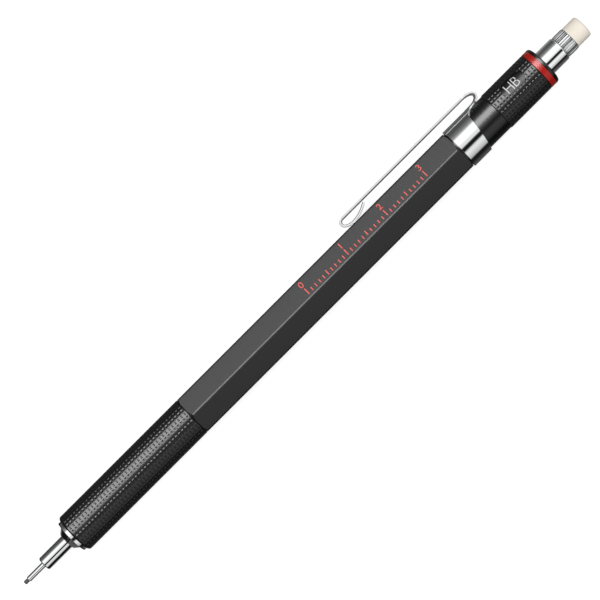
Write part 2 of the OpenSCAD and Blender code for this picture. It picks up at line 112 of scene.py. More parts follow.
RECORD = frame["record"]
JOINTS = {joint["name"]: joint for joint in frame["joints"]}
BODY_OF = {node: body for body, nodes in RECORD["behaviour"]["bodies"].items() for node in nodes}

# Where the frame has the pencil's axis, its clip and the side the photo shows
AXIS = Vector(JOINTS["dial_turn"]["pos_m"])
POINT_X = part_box("lead")[0].x
SEEN_SIDE = -Vector(JOINTS["clip_flex"]["axis"])
CLIP_SIDE = SEEN_SIDE.cross(X_AXIS)
LAID = (Matrix.Translation((POINT_X, AXIS.y, AXIS.z))
        @ Matrix((X_AXIS, -SEEN_SIDE, CLIP_SIDE)).transposed().to_4x4())


def length(label, description, millimetres):
    """A length property with its default in millimetres."""
    return FloatProperty(name=label, description=description, default=millimetres * MM,
                         unit="LENGTH", precision=6)


def angle(label, description, degrees):
    """An angle property with its default in degrees."""
    return FloatProperty(name=label, description=description, default=math.radians(degrees),
                         subtype="ANGLE")


def share(label, description, value):
    """A property between nothing and all."""
    return FloatProperty(name=label, description=description, default=value, min=0, max=1,
                         subtype="FACTOR")


def tint(label, description, colour):
    """A colour property."""
    return FloatVectorProperty(name=label, description=description, default=colour, size=3,
                               min=0, max=1, subtype="COLOR")


class PencilSizes(bpy.types.PropertyGroup):
    """Sizes of the outside that the frame's boxes do not give"""

    lead_tip_r: length("Lead tip radius", "Radius of the lead where it shows", 0.38)
    lead_tip_len: length("Lead tip length", "Length of the lead that keeps this radius", 6)
    sleeve_r: length("Sleeve radius", "Radius of the sleeve that guides the lead", 0.53)
    tube_r: length("Nose tube radius", "Radius of the nose's slim tube", 1.37)
    tube_len: length("Nose tube length", "Length of the nose's slim tube", 5.9)
    tube_chamfer: length("Nose tube chamfer", "Chamfer at the nose tube's front", 0.18)
    cone_front_r: length("Cone front radius", "Radius of the nose cone round the tube", 1.72)
    cone_rear_r: length("Cone rear radius", "Radius of the nose cone at the flange", 2.68)
    cone_len: length("Cone length", "Length of the nose cone", 1.13)
    housing_flange: length("Housing flange", "Thickness of the spring housing's flange", 0.8)

    knurl_columns: IntProperty(name="Knurl columns", description="Knurl cells round the pencil",
                               default=32, min=8, max=64)
    knurl_pitch: length("Knurl pitch", "Length of one knurl cell along the pencil", 0.785)
    knurl_depth: length("Knurl depth", "Depth of the pit in a knurl cell", 0.07)
    knurl_land: length("Knurl land", "Width of the land between two pits", 0.26)
    knurl_slope: length("Knurl slope", "Width of a pit's sloping side", 0.25)
    grip_turn: share("Grip turn", "How far the grip is turned to the clip, in knurl cells", 0.12)
    dial_turn: share("Dial turn", "How far the dial is turned to the clip, in knurl cells", 0.84)
    grip_chamfer: length("Grip chamfer", "Chamfer at the grip's ends", 0.3)
    grip_bore_r: length("Grip bore", "Radius of the grip's bore", 2.4)
    dial_chamfer: length("Dial chamfer", "Chamfer at the dial's ends", 0.1)
    dial_bore_r: length("Dial bore", "Radius of the dial's bore", 3.565)
    window_len: length("Window length", "Length of the dial's window", 5.45)
    window_w: length("Window width", "Width of the dial's window", 2.7)
    window_at: length("Window place", "Middle of the window from the dial's front", 5.46)
    window_turn: angle("Window turn", "Angle of the window from the clip", 65.5)
    index_w: length("Index width", "Width of the dial's index groove", 0.25)
    index_depth: length("Index depth", "Depth of the dial's index groove", 0.17)

    grip_rear: length("Grip rear", "How far the grip's rear end stands behind its solid", 0.15)
    grip_rear_chamfer: length("Grip rear chamfer", "Chamfer at the grip's rear end", 0.12)
    barrel_gap: length("Barrel gap", "Gap between grip and barrel", 0.1)
    barrel_chamfer: length("Barrel chamfer", "Chamfer on the barrel's corners at its ends", 0.4)
    ring_shift: length("Ring shift", "How far barrel end and ring stand before their solids", 0.2)
    corner_round: length("Barrel corner", "Radius that the barrel's corners are rounded to", 0.55)
    spigot_r: length("Spigot radius", "Radius of the barrel's and the neck's spigots", 3.1)
    barrel_bore_r: length("Barrel bore", "Radius of the barrel's bore", 2.2)
    seat_r: length("Ring seat", "Radius of the neck under the clip's ring", 3.76)
    guide_wall: length("Guide wall", "Wall of the tube that guides the button", 0.4)
    red_w: length("Red width", "Width of the red ring", 1.15)
    rim_w: length("Rim width", "Width of the end rim", 0.75)
    rim_edge_r: length("Rim edge", "Radius of the end rim's rear edge", 0.55)
    button_chamfer: length("Button chamfer", "Length of the chamfer at the button's rear end", 0.22)
    button_inset: length("Button inset", "How far the button's chamfer goes in", 0.198)
    magazine_stop: length("Magazine stop", "Width of the button's stop behind the magazine", 0.5)
    cup_r: length("Cup radius", "Radius of the eraser's cup inside the button", 2.19)
    cup_wall: length("Cup wall", "Wall of the eraser's cup", 0.22)
    cup_hole_r: length("Cup hole", "Radius of the hole in the cup's floor", 1)
    ferrule_ribs: IntProperty(name="Ferrule ribs", description="Ribs round the eraser's ferrule",
                              default=30, min=6, max=40)
    rib_depth: length("Rib depth", "Depth of the grooves between the ferrule's ribs", 0.1)
    ferrule_bulge: length("Ferrule bulge", "How far the ferrule swells in its middle", 0.04)
    ferrule_edge: length("Ferrule edge", "Chamfer at the ferrule's ends", 0.1)
    eraser_edge_r: length("Eraser edge", "Radius of the eraser's end edge", 0.4)
    eraser_dome: length("Eraser dome", "How far the eraser's end is domed", 0.12)
    wire_r: length("Spring wire", "Radius of the spring's wire", 0.16)
    spring_turns: IntProperty(name="Spring turns", description="Turns of the spring",
                              default=11, min=4, max=20)
    print_height: length("Print height", "Thickness of printed ink", 0.012)
    tick_step: length("Tick step", "Distance between two ticks of the barrel's scale", 1.0)
    tick_w: length("Tick width", "Width of the ticks of the barrel's scale", 0.2)
    tick_low: length("Tick foot", "Lower end of the ticks from the middle of the flat", -1.55)
    tick_h: length("Tick height", "Height of the shortest ticks", 0.8)
    tick_more: length("Tick growth", "How much each fifth and then each tenth tick is higher", 0.35)
    tick_count: IntProperty(name="Tick count", description="Ticks of the barrel's scale",
                            default=31, min=2, max=60)
    tick_at: length("Scale place", "First tick of the barrel's scale from the lead's point", 73.5)
    digit_h: length("Digit height", "Height of the barrel scale's digits", 1.35)
    digit_lift: share("Digit lift", "Middle of the digits above the ticks, in digit heights", 0.7)
    grade_thin: length("Grade thinning", "How much each side of the grades' lines is thinned", 0.05)
    grade_narrow: share("Grade narrowing", "Width of the grades against the plain font's", 0.84)
    grade_close: share("Grade spacing", "Spacing of the grades against the plain font's", 0.9)
    grade_shift: length("Grade shift", "How far the grades stand before the window's middle", 0.34)
    grade_h: length("Grade height", "Height of the grade letters on the drum", 2.2)


class PencilClip(bpy.types.PropertyGroup):
    """Sizes of the sheet that the clip and its ring are bent from"""

    sheet: length("Sheet", "Thickness of the sheet", 0.37)
    half_w: length("Half width", "Half of the clip's width", 1.3)
    dish: length("Dish", "How far the arm's middle lies below its edges", 0.28)
    loop_dish: length("Loop dish", "How far the loop's middle lies inside its edges", 0.42)
    foot_dish: length("Foot dish", "How far the foot's middle lies inside its edges", 0.13)
    rim_lean: share("Rim lean", "How far the rims lean against the dish", 0.1)
    ring_len: length("Ring length", "Length of the ring at the clip", 5.48)
    slant: length("Ring slant", "How much longer the ring is at the clip than opposite", 1.32)
    root_w: length("Root width", "Half of the width at which the clip leaves its ring", 3.1)
    reach: length("Reach", "Distance of the clip's outside from the pencil's axis", 6.41)
    loop_mid: length("Loop middle", "Distance of the loop's rearmost line from the axis", 5.05)
    loop_low: length("Loop low", "Distance of the loop's lower line from the axis", 4.09)
    loop_low_run: length("Lower loop", "Length of the loop's lower bend", 1.8)
    loop_high_run: length("Upper loop", "Length of the loop's upper bend", 2.2)
    nose_r: length("Nose radius", "Radius of the rolled nose's middle line", 0.65)
    nose_slope: angle("Nose slope", "Slope of the sheet from the nose to the foot", 35)
    foot_r: length("Foot radius", "Radius of the foot's middle line", 2.5)
    tail_r: length("Tail radius", "Radius of the tail's middle line", 6.5)
    tail_slope: angle("Tail slope", "Slope at the end of the tail", 27)
    tail_len: length("Tail place", "End of the tail from the nose's front", 5.97)
    bend_lean: share("Bend lean", "How far the flexing bend leans to the lead", 0.08)
    bend_low: length("Bend start", "Where the flexing bend starts, below the hinge", 0.083)
    bend_high: length("Bend end", "Where the flexing bend ends, above the hinge", 0.817)


class PencilColours(bpy.types.PropertyGroup):
    """Colours of the materials"""

    graphite: tint("Graphite", "Colour of the leads", (0.12, 0.12, 0.125))
    steel: tint("Steel", "Colour of sleeve and spring", (0.5, 0.5, 0.51))
    chrome: tint("Chrome", "Colour of the plated pieces", (0.78, 0.785, 0.79))
    polish: tint("Polish", "Colour of the push button", (0.9, 0.905, 0.91))
    knurl: tint("Knurl black", "Colour of grip and dial", (0.009, 0.009, 0.0095))
    barrel: tint("Barrel black", "Colour of the barrel", (0.004, 0.004, 0.0042))
    gloss: tint("Gloss black", "Colour of neck and end rim", (0.003, 0.003, 0.0032))
    drum: tint("Drum black", "Colour of the grade drum", (0.01, 0.01, 0.0105))
    red: tint("Red", "Colour of the red ring", (0.42, 0.008, 0.003))
    print_red: tint("Print red", "Colour of the barrel's scale", (0.85, 0.075, 0.05))
    print_white: tint("Print white", "Colour of the grade letters", (0.9, 0.9, 0.9))
    eraser: tint("Eraser", "Colour of the eraser", (0.95, 0.88, 0.77))
    brass: tint("Brass", "Colour of chuck, clutch ring and connector", (0.72, 0.5, 0.2))
    plastic: tint("Plastic", "Colour of housing and magazine", (0.75, 0.75, 0.72))
    rubber: tint("Rubber", "Colour of the lead retainer", (0.02, 0.02, 0.02))


class PencilStage(bpy.types.PropertyGroup):
    """Camera and light"""

    distance: length("Camera distance", "Distance of the camera from the pencil", 560)
    lens: FloatProperty(name="Lens", description="Focal length of the camera", default=185.44,
                        unit="CAMERA")
    aim_right: length("Aim right", "How far right of the pencil's middle the camera aims", -0.755)
    aim_up: length("Aim up", "How far above the pencil's middle the camera aims", 0.737)
    lamp_far: length("Lamp distance", "Distance of the lamps from the pencil", 1500)
    lamp_w: length("Lamp width", "Width of the lamps across the pencil", 800)
    lamp_len: length("Lamp length", "Length of the lamps along the pencil", 800)
    key_turn: angle("Key turn", "Direction of the lamp, from the far side upwards", 114)
    key_light: share("Key light", "Light of the lamp on a surface that faces it", 0.86)
    fill: share("Fill", "Brightness of the room for light on dull surfaces", 0.17)
    floor: share("Floor", "Paleness of the floor", 0.4)
    floor_lift: share("Floor lift", "Glow that keeps the floor white in view", 0.8)
    floor_size: length("Floor size", "Length of the floor's sides", 6000)
    gloss_turn: angle("Gloss turn", "Direction of the lamp that dark surfaces mirror", 90)
    gloss_far: length("Gloss distance", "Distance of the lamp that dark surfaces mirror", 800)
    gloss_w: length("Gloss width", "Width of the lamp that dark surfaces mirror", 490)
    gloss_light: FloatProperty(name="Gloss light", default=9.5, min=0,
                               description="Brightness of the lamp that dark surfaces mirror")
    card_far: length("Card distance", "Distance of the reflected cards from the pencil", 900)
    card_len: length("Card length", "Length of the reflected cards along the pencil", 2400)


# Selecting, shaping and placing

def pick(piece):
    """Makes a piece the only selected object."""
    bpy.ops.object.select_all(action="DESELECT")
    piece.select_set(True)
    bpy.context.view_layer.objects.active = piece


def named(name):
    """Names the object that an operator just made."""
    piece = bpy.context.active_object
    piece.name = name
    piece.data.name = name
    return piece


def fixed():
    """Moves the selected object's place into its mesh."""
    bpy.ops.object.transform_apply(location=True, rotation=True, scale=True)


def start_edit(mode):
    """Opens the active mesh with nothing selected."""
    bpy.ops.object.mode_set(mode="EDIT")
    bpy.ops.mesh.select_mode(type=mode)
    bpy.ops.mesh.select_all(action="DESELECT")


def end_edit():
    """Closes the mesh."""
    bpy.ops.object.mode_set(mode="OBJECT")


def open_all(piece, mode):
    """Opens a mesh with everything selected."""
    pick(piece)
    start_edit(mode)
    bpy.ops.mesh.select_all(action="SELECT")


def select_edges(piece, test):
    """Opens a mesh with the edges selected whose two ends pass a test."""
    pick(piece)
    start_edit("EDGE")
    end_edit()
    points = piece.data.vertices
    for edge in piece.data.edges:
        edge.select = test(*(points[i].co for i in edge.vertices))
    bpy.ops.object.mode_set(mode="EDIT")


def select_points(piece, test):
    """Opens a mesh with the points selected that pass a test."""
    pick(piece)
    start_edit("VERT")
    end_edit()
    for point in piece.data.vertices:
        point.select = test(point)
    bpy.ops.object.mode_set(mode="EDIT")


def merge(piece):
    """Makes touching points one."""
    open_all(piece, "VERT")
    bpy.ops.mesh.remove_doubles(threshold=WELD)
    end_edit()


def face_out(piece):
    """Turns the faces outwards."""
    open_all(piece, "VERT")
    bpy.ops.mesh.normals_make_consistent(inside=False)
    end_edit()


def weld(piece):
    """Makes touching points one and turns the faces outwards."""
    merge(piece)
    face_out(piece)


def joined(name, pieces):
    """Joins pieces to one of a name."""
    pick(pieces[0])
    for piece in pieces:
        piece.select_set(True)
    bpy.ops.object.join()
    return named(name)


def apply_modifier(piece, kind, **settings):
    """Adds a modifier and applies it."""
    pick(piece)
    bpy.ops.object.modifier_add(type=kind)
    modifier = piece.modifiers[-1]
    for name, value in settings.items():
        setattr(modifier, name, value)
    bpy.ops.object.modifier_apply(modifier=modifier.name)


def soften(piece, width, sharp=30, segments=2):
    """Rounds the edges that are sharper than an angle."""
    apply_modifier(piece, "BEVEL", width=width, segments=segments, limit_method="ANGLE",
                   angle_limit=math.radians(sharp), use_clamp_overlap=True, harden_normals=False)


def smooth(piece, sharp=30):
    """Shades a piece smooth up to an angle, with its large faces staying true."""
    pick(piece)
    bpy.ops.object.shade_smooth_by_angle(angle=math.radians(sharp))
    apply_modifier(piece, "WEIGHTED_NORMAL", keep_sharp=True, weight=100)


def carve(piece, tool, operation="DIFFERENCE"):
    """Cuts a piece with another, which goes away."""
    apply_modifier(piece, "BOOLEAN", object=tool, operation=operation, solver="EXACT")
    bpy.data.objects.remove(tool)


def turned(name, outline, closed=True):
    """Turns an outline of (station, radius) points round the pencil's axis."""
    bpy.ops.object.select_all(action="DESELECT")
    bpy.ops.mesh.primitive_plane_add(size=MM)
    piece = named(name)
    bpy.ops.object.mode_set(mode="EDIT")
    bpy.ops.mesh.select_mode(type="VERT")
    bpy.ops.mesh.merge(type="CENTER")
    points = [Vector((station, 0, radius)) for station, radius in outline]
    bpy.ops.transform.translate(value=points[0])
    for here, there in zip(points, points[1:] + points[:1] * closed):
        bpy.ops.mesh.extrude_region_move(TRANSFORM_OT_translate={"value": there - here})
    bpy.ops.mesh.select_all(action="SELECT")
    bpy.ops.mesh.spin(steps=ROUND_STEPS, angle=math.tau, center=(0, 0, 0), axis=X_AXIS)
    end_edit()
    weld(piece)
    return piece


def rod(name, sides, radius, start, end, fill="NGON"):
    """A rod round the pencil's axis between two stations, or a tube if its ends stay open."""
    bpy.ops.object.select_all(action="DESELECT")
    bpy.ops.mesh.primitive_cylinder_add(
        vertices=sides, radius=radius, depth=end - start, end_fill_type=fill,
        location=((start + end) / 2, 0, 0), rotation=(0, math.pi / 2, 0))
    piece = named(name)
    fixed()
    return piece


def round_edge(station, radius, edge, steps=8):
    """Outline points of a rear edge rounded to a radius."""
    turns = [math.pi / 2 * i / steps for i in range(steps + 1)]
    return [(station - edge + edge * math.sin(turn), radius - edge + edge * math.cos(turn))
            for turn in turns]


def extend_rim(station, radius, path):
    """Extrudes the selected rim through (station, radius) places."""
    for next_station, next_radius in path:
        grow = next_radius / radius
        bpy.ops.mesh.extrude_region_move(
            TRANSFORM_OT_translate={"value": (next_station - station, 0, 0)})
        bpy.ops.transform.resize(value=(1, grow, grow), center_override=(next_station, 0, 0))
        station, radius = next_station, next_radius
    end_edit()


def knurled(name, start, end, land_r, sizes, turn, path):
    """A tube knurled between two stations, turned by a share of a cell and closed along a path."""
    columns = sizes.knurl_columns
    piece = rod(name, columns, land_r, start, end, "NOTHING")
    select_edges(piece, lambda a, b: abs(a.x - b.x) > sizes.knurl_pitch)
    bpy.ops.mesh.subdivide(number_cuts=round((end - start) / sizes.knurl_pitch) - 1)
    bpy.ops.mesh.select_all(action="SELECT")
    bpy.ops.mesh.normals_make_consistent(inside=False)
    bpy.ops.mesh.select_mode(type="FACE")
    bpy.ops.mesh.inset(thickness=sizes.knurl_land / 2, use_individual=True)
    bpy.ops.mesh.inset(thickness=sizes.knurl_slope, depth=-sizes.knurl_depth, use_individual=True)
    end_edit()
    select_edges(piece, lambda a, b: max(a.x, b.x) < start + WELD)
    extend_rim(start, land_r, path + [(end, land_r)])
    weld(piece)
    piece.rotation_euler.x = -turn * math.tau / columns
    fixed()
    return piece


def printed(name, words, height, thin=0, close=1):
    """Flat letters facing +Z, centred on the origin."""
    bpy.ops.object.select_all(action="DESELECT")
    bpy.ops.object.text_add()
    text = bpy.context.active_object
    text.data.body = words
    text.data.align_x = "CENTER"
    text.data.align_y = "CENTER"
    text.data.size = height / CAP_HEIGHT
    text.data.offset = -thin
    text.data.space_character = close
    text.data.resolution_u = 6
    bpy.ops.object.convert(target="MESH")
    return named(name)


def lay(piece):
    """Lays a finished piece down where the frame has the pencil."""
    pick(piece)
    fixed()
    piece.matrix_world = LAID
    fixed()


def coat(piece, paint):
    """Gives a piece its one material."""
    piece.data.materials.clear()
    piece.data.materials.append(paint)


def hand_over(piece, node, paint):
    """Lays a piece down in a node's stead, on its body and with its material."""
    lay(piece)
    coat(piece, paint)
    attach(piece, BODY_OF[node])
    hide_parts(node)


def span(node):
    """First and last station of a node, from the lead's point."""
    low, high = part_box(node)
    return low.x - POINT_X, high.x - POINT_X


def radius(node):
    """Radius of a round node, or half the distance between the barrel's flats."""
    low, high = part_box(node)
    return (high.z - low.z) / 2


# Materials

def add_node(tree, kind, inputs, **settings):
    """Adds a node; an input is a value or a socket to link."""
    item = tree.nodes.new(kind)
    for name, value in settings.items():
        setattr(item, name, value)
    for name, value in inputs.items():
        if isinstance(value, bpy.types.NodeSocket):
            tree.links.new(value, item.inputs[name])
        else:
            item.inputs[name].default_value = value
    return item


def new_material(name):
    """An empty material with its tree, its surface and its object coordinates."""
    paint = bpy.data.materials.new(name)
    paint.use_nodes = True
    tree = paint.node_tree
    place = add_node(tree, "ShaderNodeTexCoord", {}).outputs["Object"]
    return paint, tree, tree.nodes["Principled BSDF"], place


def vary(tree, factor, low, high):
    """A value that follows a factor from low to high."""
    inputs = {"Value": factor, "To Min": low, "To Max": high}
    return add_node(tree, "ShaderNodeMapRange", inputs).outputs["Result"]


def tone(tree, factor, colour, spread):
    """A colour that follows a factor from darker to lighter."""
    mix = add_node(tree, "ShaderNodeMix", {"Factor": factor}, data_type="RGBA")
    sockets = [s for s in mix.inputs if s.type == "RGBA"]
    sockets[0].default_value = [c * (1 - spread) for c in colour] + [1]
    sockets[1].default_value = [min(1, c * (1 + spread)) for c in colour] + [1]
    return next(s for s in mix.outputs if s.type == "RGBA")


def grained(name, colour, rough, grain, relief, spread, stretch, inputs):
    """A finish whose fine grain varies its tone, its roughness and its relief."""
    paint, tree, surface, place = new_material(name)
    scale = (stretch, 1, 1)
    drawn = add_node(tree, "ShaderNodeMapping", {"Vector": place, "Scale": scale}).outputs["Vector"]
    fine = add_node(tree, "ShaderNodeTexNoise",
                    {"Vector": drawn, "Scale": 1 / grain, "Detail": 3.0}).outputs["Fac"]
    broad = add_node(tree, "ShaderNodeTexNoise",
                     {"Vector": drawn, "Scale": 0.04 / grain, "Detail": 2.0}).outputs["Fac"]
    links = tree.links
    links.new(tone(tree, broad, colour, spread), surface.inputs["Base Color"])
    links.new(vary(tree, fine, rough * (1 - spread), rough * (1 + spread)),
              surface.inputs["Roughness"])
    bump = add_node(tree, "ShaderNodeBump", {"Height": fine, "Strength": 0.5, "Distance": relief})
    links.new(bump.outputs["Normal"], surface.inputs["Normal"])
    for socket, value in inputs.items():
        surface.inputs[socket].default_value = value
    return paint


def from_axis(tree, near, far, low, high):
    """A value that rises from low to high with the distance from the pencil's axis."""
    place = add_node(tree, "ShaderNodeTexCoord", {}).outputs["Object"]
    kind = "ShaderNodeVectorMath"
    offset = add_node(tree, kind, {0: place, 1: AXIS}, operation="SUBTRACT").outputs["Vector"]
    across = add_node(tree, kind, {0: offset, 1: (0, 1, 1)}, operation="MULTIPLY").outputs["Vector"]
    height = add_node(tree, kind, {0: across}, operation="LENGTH").outputs["Value"]
    inputs = {"Value": height, "From Min": near, "From Max": far, "To Min": low, "To Max": high}
    return add_node(tree, "ShaderNodeMapRange", inputs).outputs["Result"]


def pitted(paint, pit_r, land_r):
    """Paints shade into the pits: their shine fades with depth below the lands, standing in for the
    shade that falls in them.
    """
    tree = paint.node_tree
    tree.links.new(from_axis(tree, pit_r, land_r, low=0.08, high=0.42),
                   tree.nodes["Principled BSDF"].inputs["Specular IOR Level"])


def plated(name, colour, rough):
    """Bright plating over fine turning marks that run round the pencil."""
    paint, tree, surface, place = new_material(name)
    marks = add_node(tree, "ShaderNodeTexWave",
                     {"Vector": place, "Scale": 900.0, "Distortion": 2.5, "Detail": 2.0},
                     bands_direction="X").outputs["Fac"]
    haze = add_node(tree, "ShaderNodeTexNoise",
                    {"Vector": place, "Scale": 350.0, "Detail": 3.0}).outputs["Fac"]
    links = tree.links
    links.new(tone(tree, haze, colour, spread=0.04), surface.inputs["Base Color"])
    links.new(vary(tree, haze, rough * 0.6, rough * 1.4), surface.inputs["Roughness"])
    bump = add_node(tree, "ShaderNodeBump",
                    {"Height": marks, "Strength": 0.04, "Distance": 0.004 * MM})
    links.new(bump.outputs["Normal"], surface.inputs["Normal"])
    surface.inputs["Metallic"].default_value = 1.0
    return paint


def ribbed(paint, groove_r, rib_r):
    """Paints shade into the grooves between ribs: the plating's colour darkens towards the groove
    floor.
    """
    tree = paint.node_tree
    base = tree.nodes["Principled BSDF"].inputs["Base Color"]
    shade = from_axis(tree, groove_r, rib_r, low=0.15, high=1)
    dim = add_node(tree, "ShaderNodeVectorMath",
                   {0: base.links[0].from_socket, "Scale": shade}, operation="SCALE")
    tree.links.new(dim.outputs["Vector"], base)


# Grained finishes: roughness, grain and relief in millimetres, spread of tone and roughness,
# stretch of the grain along the pencil, and inputs that are the same all over
GRAINED = {
    "graphite": (0.38, 0.05, 0.004, 0.2, 1, {"Metallic": 0.6}),
    "steel": (0.28, 0.12, 0.001, 0.15, 0.1, {"Metallic": 1.0}),
    "knurl": (0.25, 0.09, 0.006, 0.2, 1, {}),
    "barrel": (0.41, 0.06, 0.0008, 0.1, 1, {"Specular IOR Level": 0.47}),
    "gloss": (0.27, 0.3, 0.0002, 0.06, 1, {}),
    "drum": (0.3, 0.2, 0.0006, 0.2, 1, {"Specular IOR Level": 0.25}),
    "red": (0.27, 0.15, 0.001, 0.08, 1, {"Specular IOR Level": 0.42}),
    "print_red": (0.5, 0.08, 0.001, 0.06, 1, {}),
    "print_white": (0.5, 0.08, 0.001, 0.04, 1, {}),
    "eraser": (0.75, 0.12, 0.006, 0.03, 1, {"Specular IOR Level": 0.25}),
    "brass": (0.25, 0.15, 0.001, 0.1, 1, {"Metallic": 1.0}),
    "plastic": (0.45, 0.15, 0.002, 0.05, 1, {}),
    "rubber": (0.7, 0.1, 0.004, 0.2, 1, {}),
}
# Plated finishes: roughness and colour
PLATED = {"chrome": (0.05, "chrome"), "polish": (0.05, "polish"), "ferrule": (0.06, "chrome")}
# Finishes that the gloss lamp is for
DARK = ("knurl", "barrel", "gloss", "drum", "red", "print_red")
MATERIALS = {}


def material(name):
    """The material of a name, made at its first use."""
    if name not in MATERIALS:
        colours = bpy.context.scene.pencil_colours
        if name in PLATED:
            rough, colour = PLATED[name]
            paint = plated(name, getattr(colours, colour), rough)
        else:
            rough, grain, relief, *rest = GRAINED[name]
            paint = grained(name, getattr(colours, name), rough, grain * MM, relief * MM, *rest)
        if name == "ferrule":
            # painted shade: the ferrule's grooves are darkened in its colour
            ribbed(paint, groove_r=2.22 * MM, rib_r=2.29 * MM)
        elif name == "knurl":
            # painted shade: the knurl's pits lose their shine with depth
            pitted(paint, pit_r=3.9 * MM, land_r=3.95 * MM)
        MATERIALS[name] = paint
    return MATERIALS[name]


# Pieces

class PENCIL_OT_tip(bpy.types.Operator):
    """Models the lead and the steel sleeve that guides it"""

    bl_idname = "pencil.tip"
    bl_label = "Lead and sleeve"

    def execute(self, context):
        sizes = context.scene.pencil_sizes
        front, back = span("lead")
        lead_r = radius("lead")
        tip_r = sizes.lead_tip_r
        worn = tip_r / 4
        tip = front + sizes.lead_tip_len
        lead = turned("lead_stick", [
            (front, 0), (front, tip_r - worn), (front + worn, tip_r), (tip, tip_r),
            (tip + worn, lead_r), (back, lead_r), (back, 0)], closed=False)
        soften(lead, worn / 3)
        smooth(lead)
        hand_over(lead, "lead", material("graphite"))

        front, back = span("lead_sleeve")
        sleeve_r = sizes.sleeve_r
        bore_r = tip_r + FIT
        sleeve = turned("sleeve_tube", [
            (front, bore_r), (front, sleeve_r), (back, sleeve_r), (back, bore_r)])
        soften(sleeve, ROUND_EDGE)
        smooth(sleeve)
        hand_over(sleeve, "lead_sleeve", material("chrome"))
        return {"FINISHED"}


class PENCIL_OT_nose(bpy.types.Operator):
    """Models the nose with its tube, cone, flange and hollow spigot"""

    bl_idname = "pencil.nose"
    bl_label = "Nose"

    def execute(self, context):
        sizes = context.scene.pencil_sizes
        front, back = span("nose_piece")
        cone = front + sizes.tube_len
        flange = cone + sizes.cone_len
        grip = span("grip")[0]
        seat = span("lead_sleeve")[1]
        retainer = span("lead_retainer")[0]
        clutch = span("clutch_ring")[0] - JOINTS["lead_feed"]["range_m"][1] - SLIDE
        thread_r = radius("spring_housing")
        sleeve_r = sizes.sleeve_r + FIT
        retainer_r = radius("lead_retainer") + FIT
        lead_r = radius("lead") + FIT
        nose = turned("nose_shell", [
            (front, sleeve_r), (front, sizes.tube_r - sizes.tube_chamfer),
            (front + sizes.tube_chamfer, sizes.tube_r), (cone, sizes.tube_r),
            (cone, sizes.cone_front_r), (flange, sizes.cone_rear_r),
            (flange, radius("nose_piece")), (grip, radius("nose_piece")),
            (grip, thread_r), (back, thread_r), (back, radius("clutch_ring") + SLIDE),
            (clutch, radius("clutch_ring") + SLIDE), (clutch, radius("chuck") + ROOM),
            (flange, radius("chuck") + ROOM), (flange, retainer_r), (retainer, retainer_r),
            (retainer, lead_r), (seat, lead_r), (seat, sleeve_r)])
        soften(nose, ROUND_EDGE)
        smooth(nose, sharp=25)
        hand_over(nose, "nose_piece", material("chrome"))
        return {"FINISHED"}


class PENCIL_OT_grip(bpy.types.Operator):
    """Models the knurled grip"""

    bl_idname = "pencil.grip"
    bl_label = "Grip"

    def execute(self, context):
        sizes = context.scene.pencil_sizes
        front, back = span("grip")
        back += sizes.grip_rear
        end_r = radius("grip") - sizes.grip_chamfer
        rear_r = radius("grip") - sizes.grip_rear_chamfer
        thread_r = radius("spring_housing") + FIT
        spigot_r = sizes.spigot_r + FIT
        shoulder = span("nose_piece")[1] + sizes.housing_flange
        spigot = span("barrel")[0]
        grip = knurled(
            "grip_shell", front + sizes.grip_chamfer, back - sizes.grip_rear_chamfer,
            radius("grip"), sizes, sizes.grip_turn,
            [(front, end_r), (front, thread_r), (shoulder, thread_r), (shoulder, sizes.grip_bore_r),
             (spigot, sizes.grip_bore_r), (spigot, spigot_r), (back, spigot_r), (back, rear_r)])
        smooth(grip, sharp=12)
        hand_over(grip, "grip", material("knurl"))
        return {"FINISHED"}


class PENCIL_OT_barrel(bpy.types.Operator):
    """Models the six-sided barrel with its turned ends"""

    bl_idname = "pencil.barrel"
    bl_label = "Barrel"

    def execute(self, context):
        sizes = context.scene.pencil_sizes
        spigot, back = span("barrel")
        back -= sizes.ring_shift
        front = span("grip")[1] + sizes.grip_rear + sizes.barrel_gap
        neck = span("neck")[0]
        low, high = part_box("barrel")
        corner_r = (high.y - low.y) / 2 + FIT
        end_r = corner_r - sizes.barrel_chamfer
        socket_r = sizes.spigot_r + FIT
        barrel = turned("barrel_shell", [
            (spigot, sizes.barrel_bore_r), (spigot, sizes.spigot_r), (front, sizes.spigot_r),
            (front, end_r), (front + sizes.barrel_chamfer, corner_r),
            (back - sizes.barrel_chamfer, corner_r), (back, end_r), (back, socket_r),
            (neck, socket_r), (neck, sizes.barrel_bore_r)])
        sixth = math.pi / 6
        over = (back - spigot) / 2
        hexagon = rod("hexagon", 6, radius("barrel") / math.cos(sixth), spigot - over, back + over)
        select_edges(hexagon, lambda a, b: abs(a.x - b.x) > back - spigot)
        bpy.ops.mesh.bevel(offset=sizes.corner_round * math.tan(sixth), segments=8, profile=0.5)
        end_edit()
        carve(barrel, hexagon, "INTERSECT")
        weld(barrel)
        smooth(barrel, sharp=20)
        hand_over(barrel, "barrel", material("barrel"))
        return {"FINISHED"}


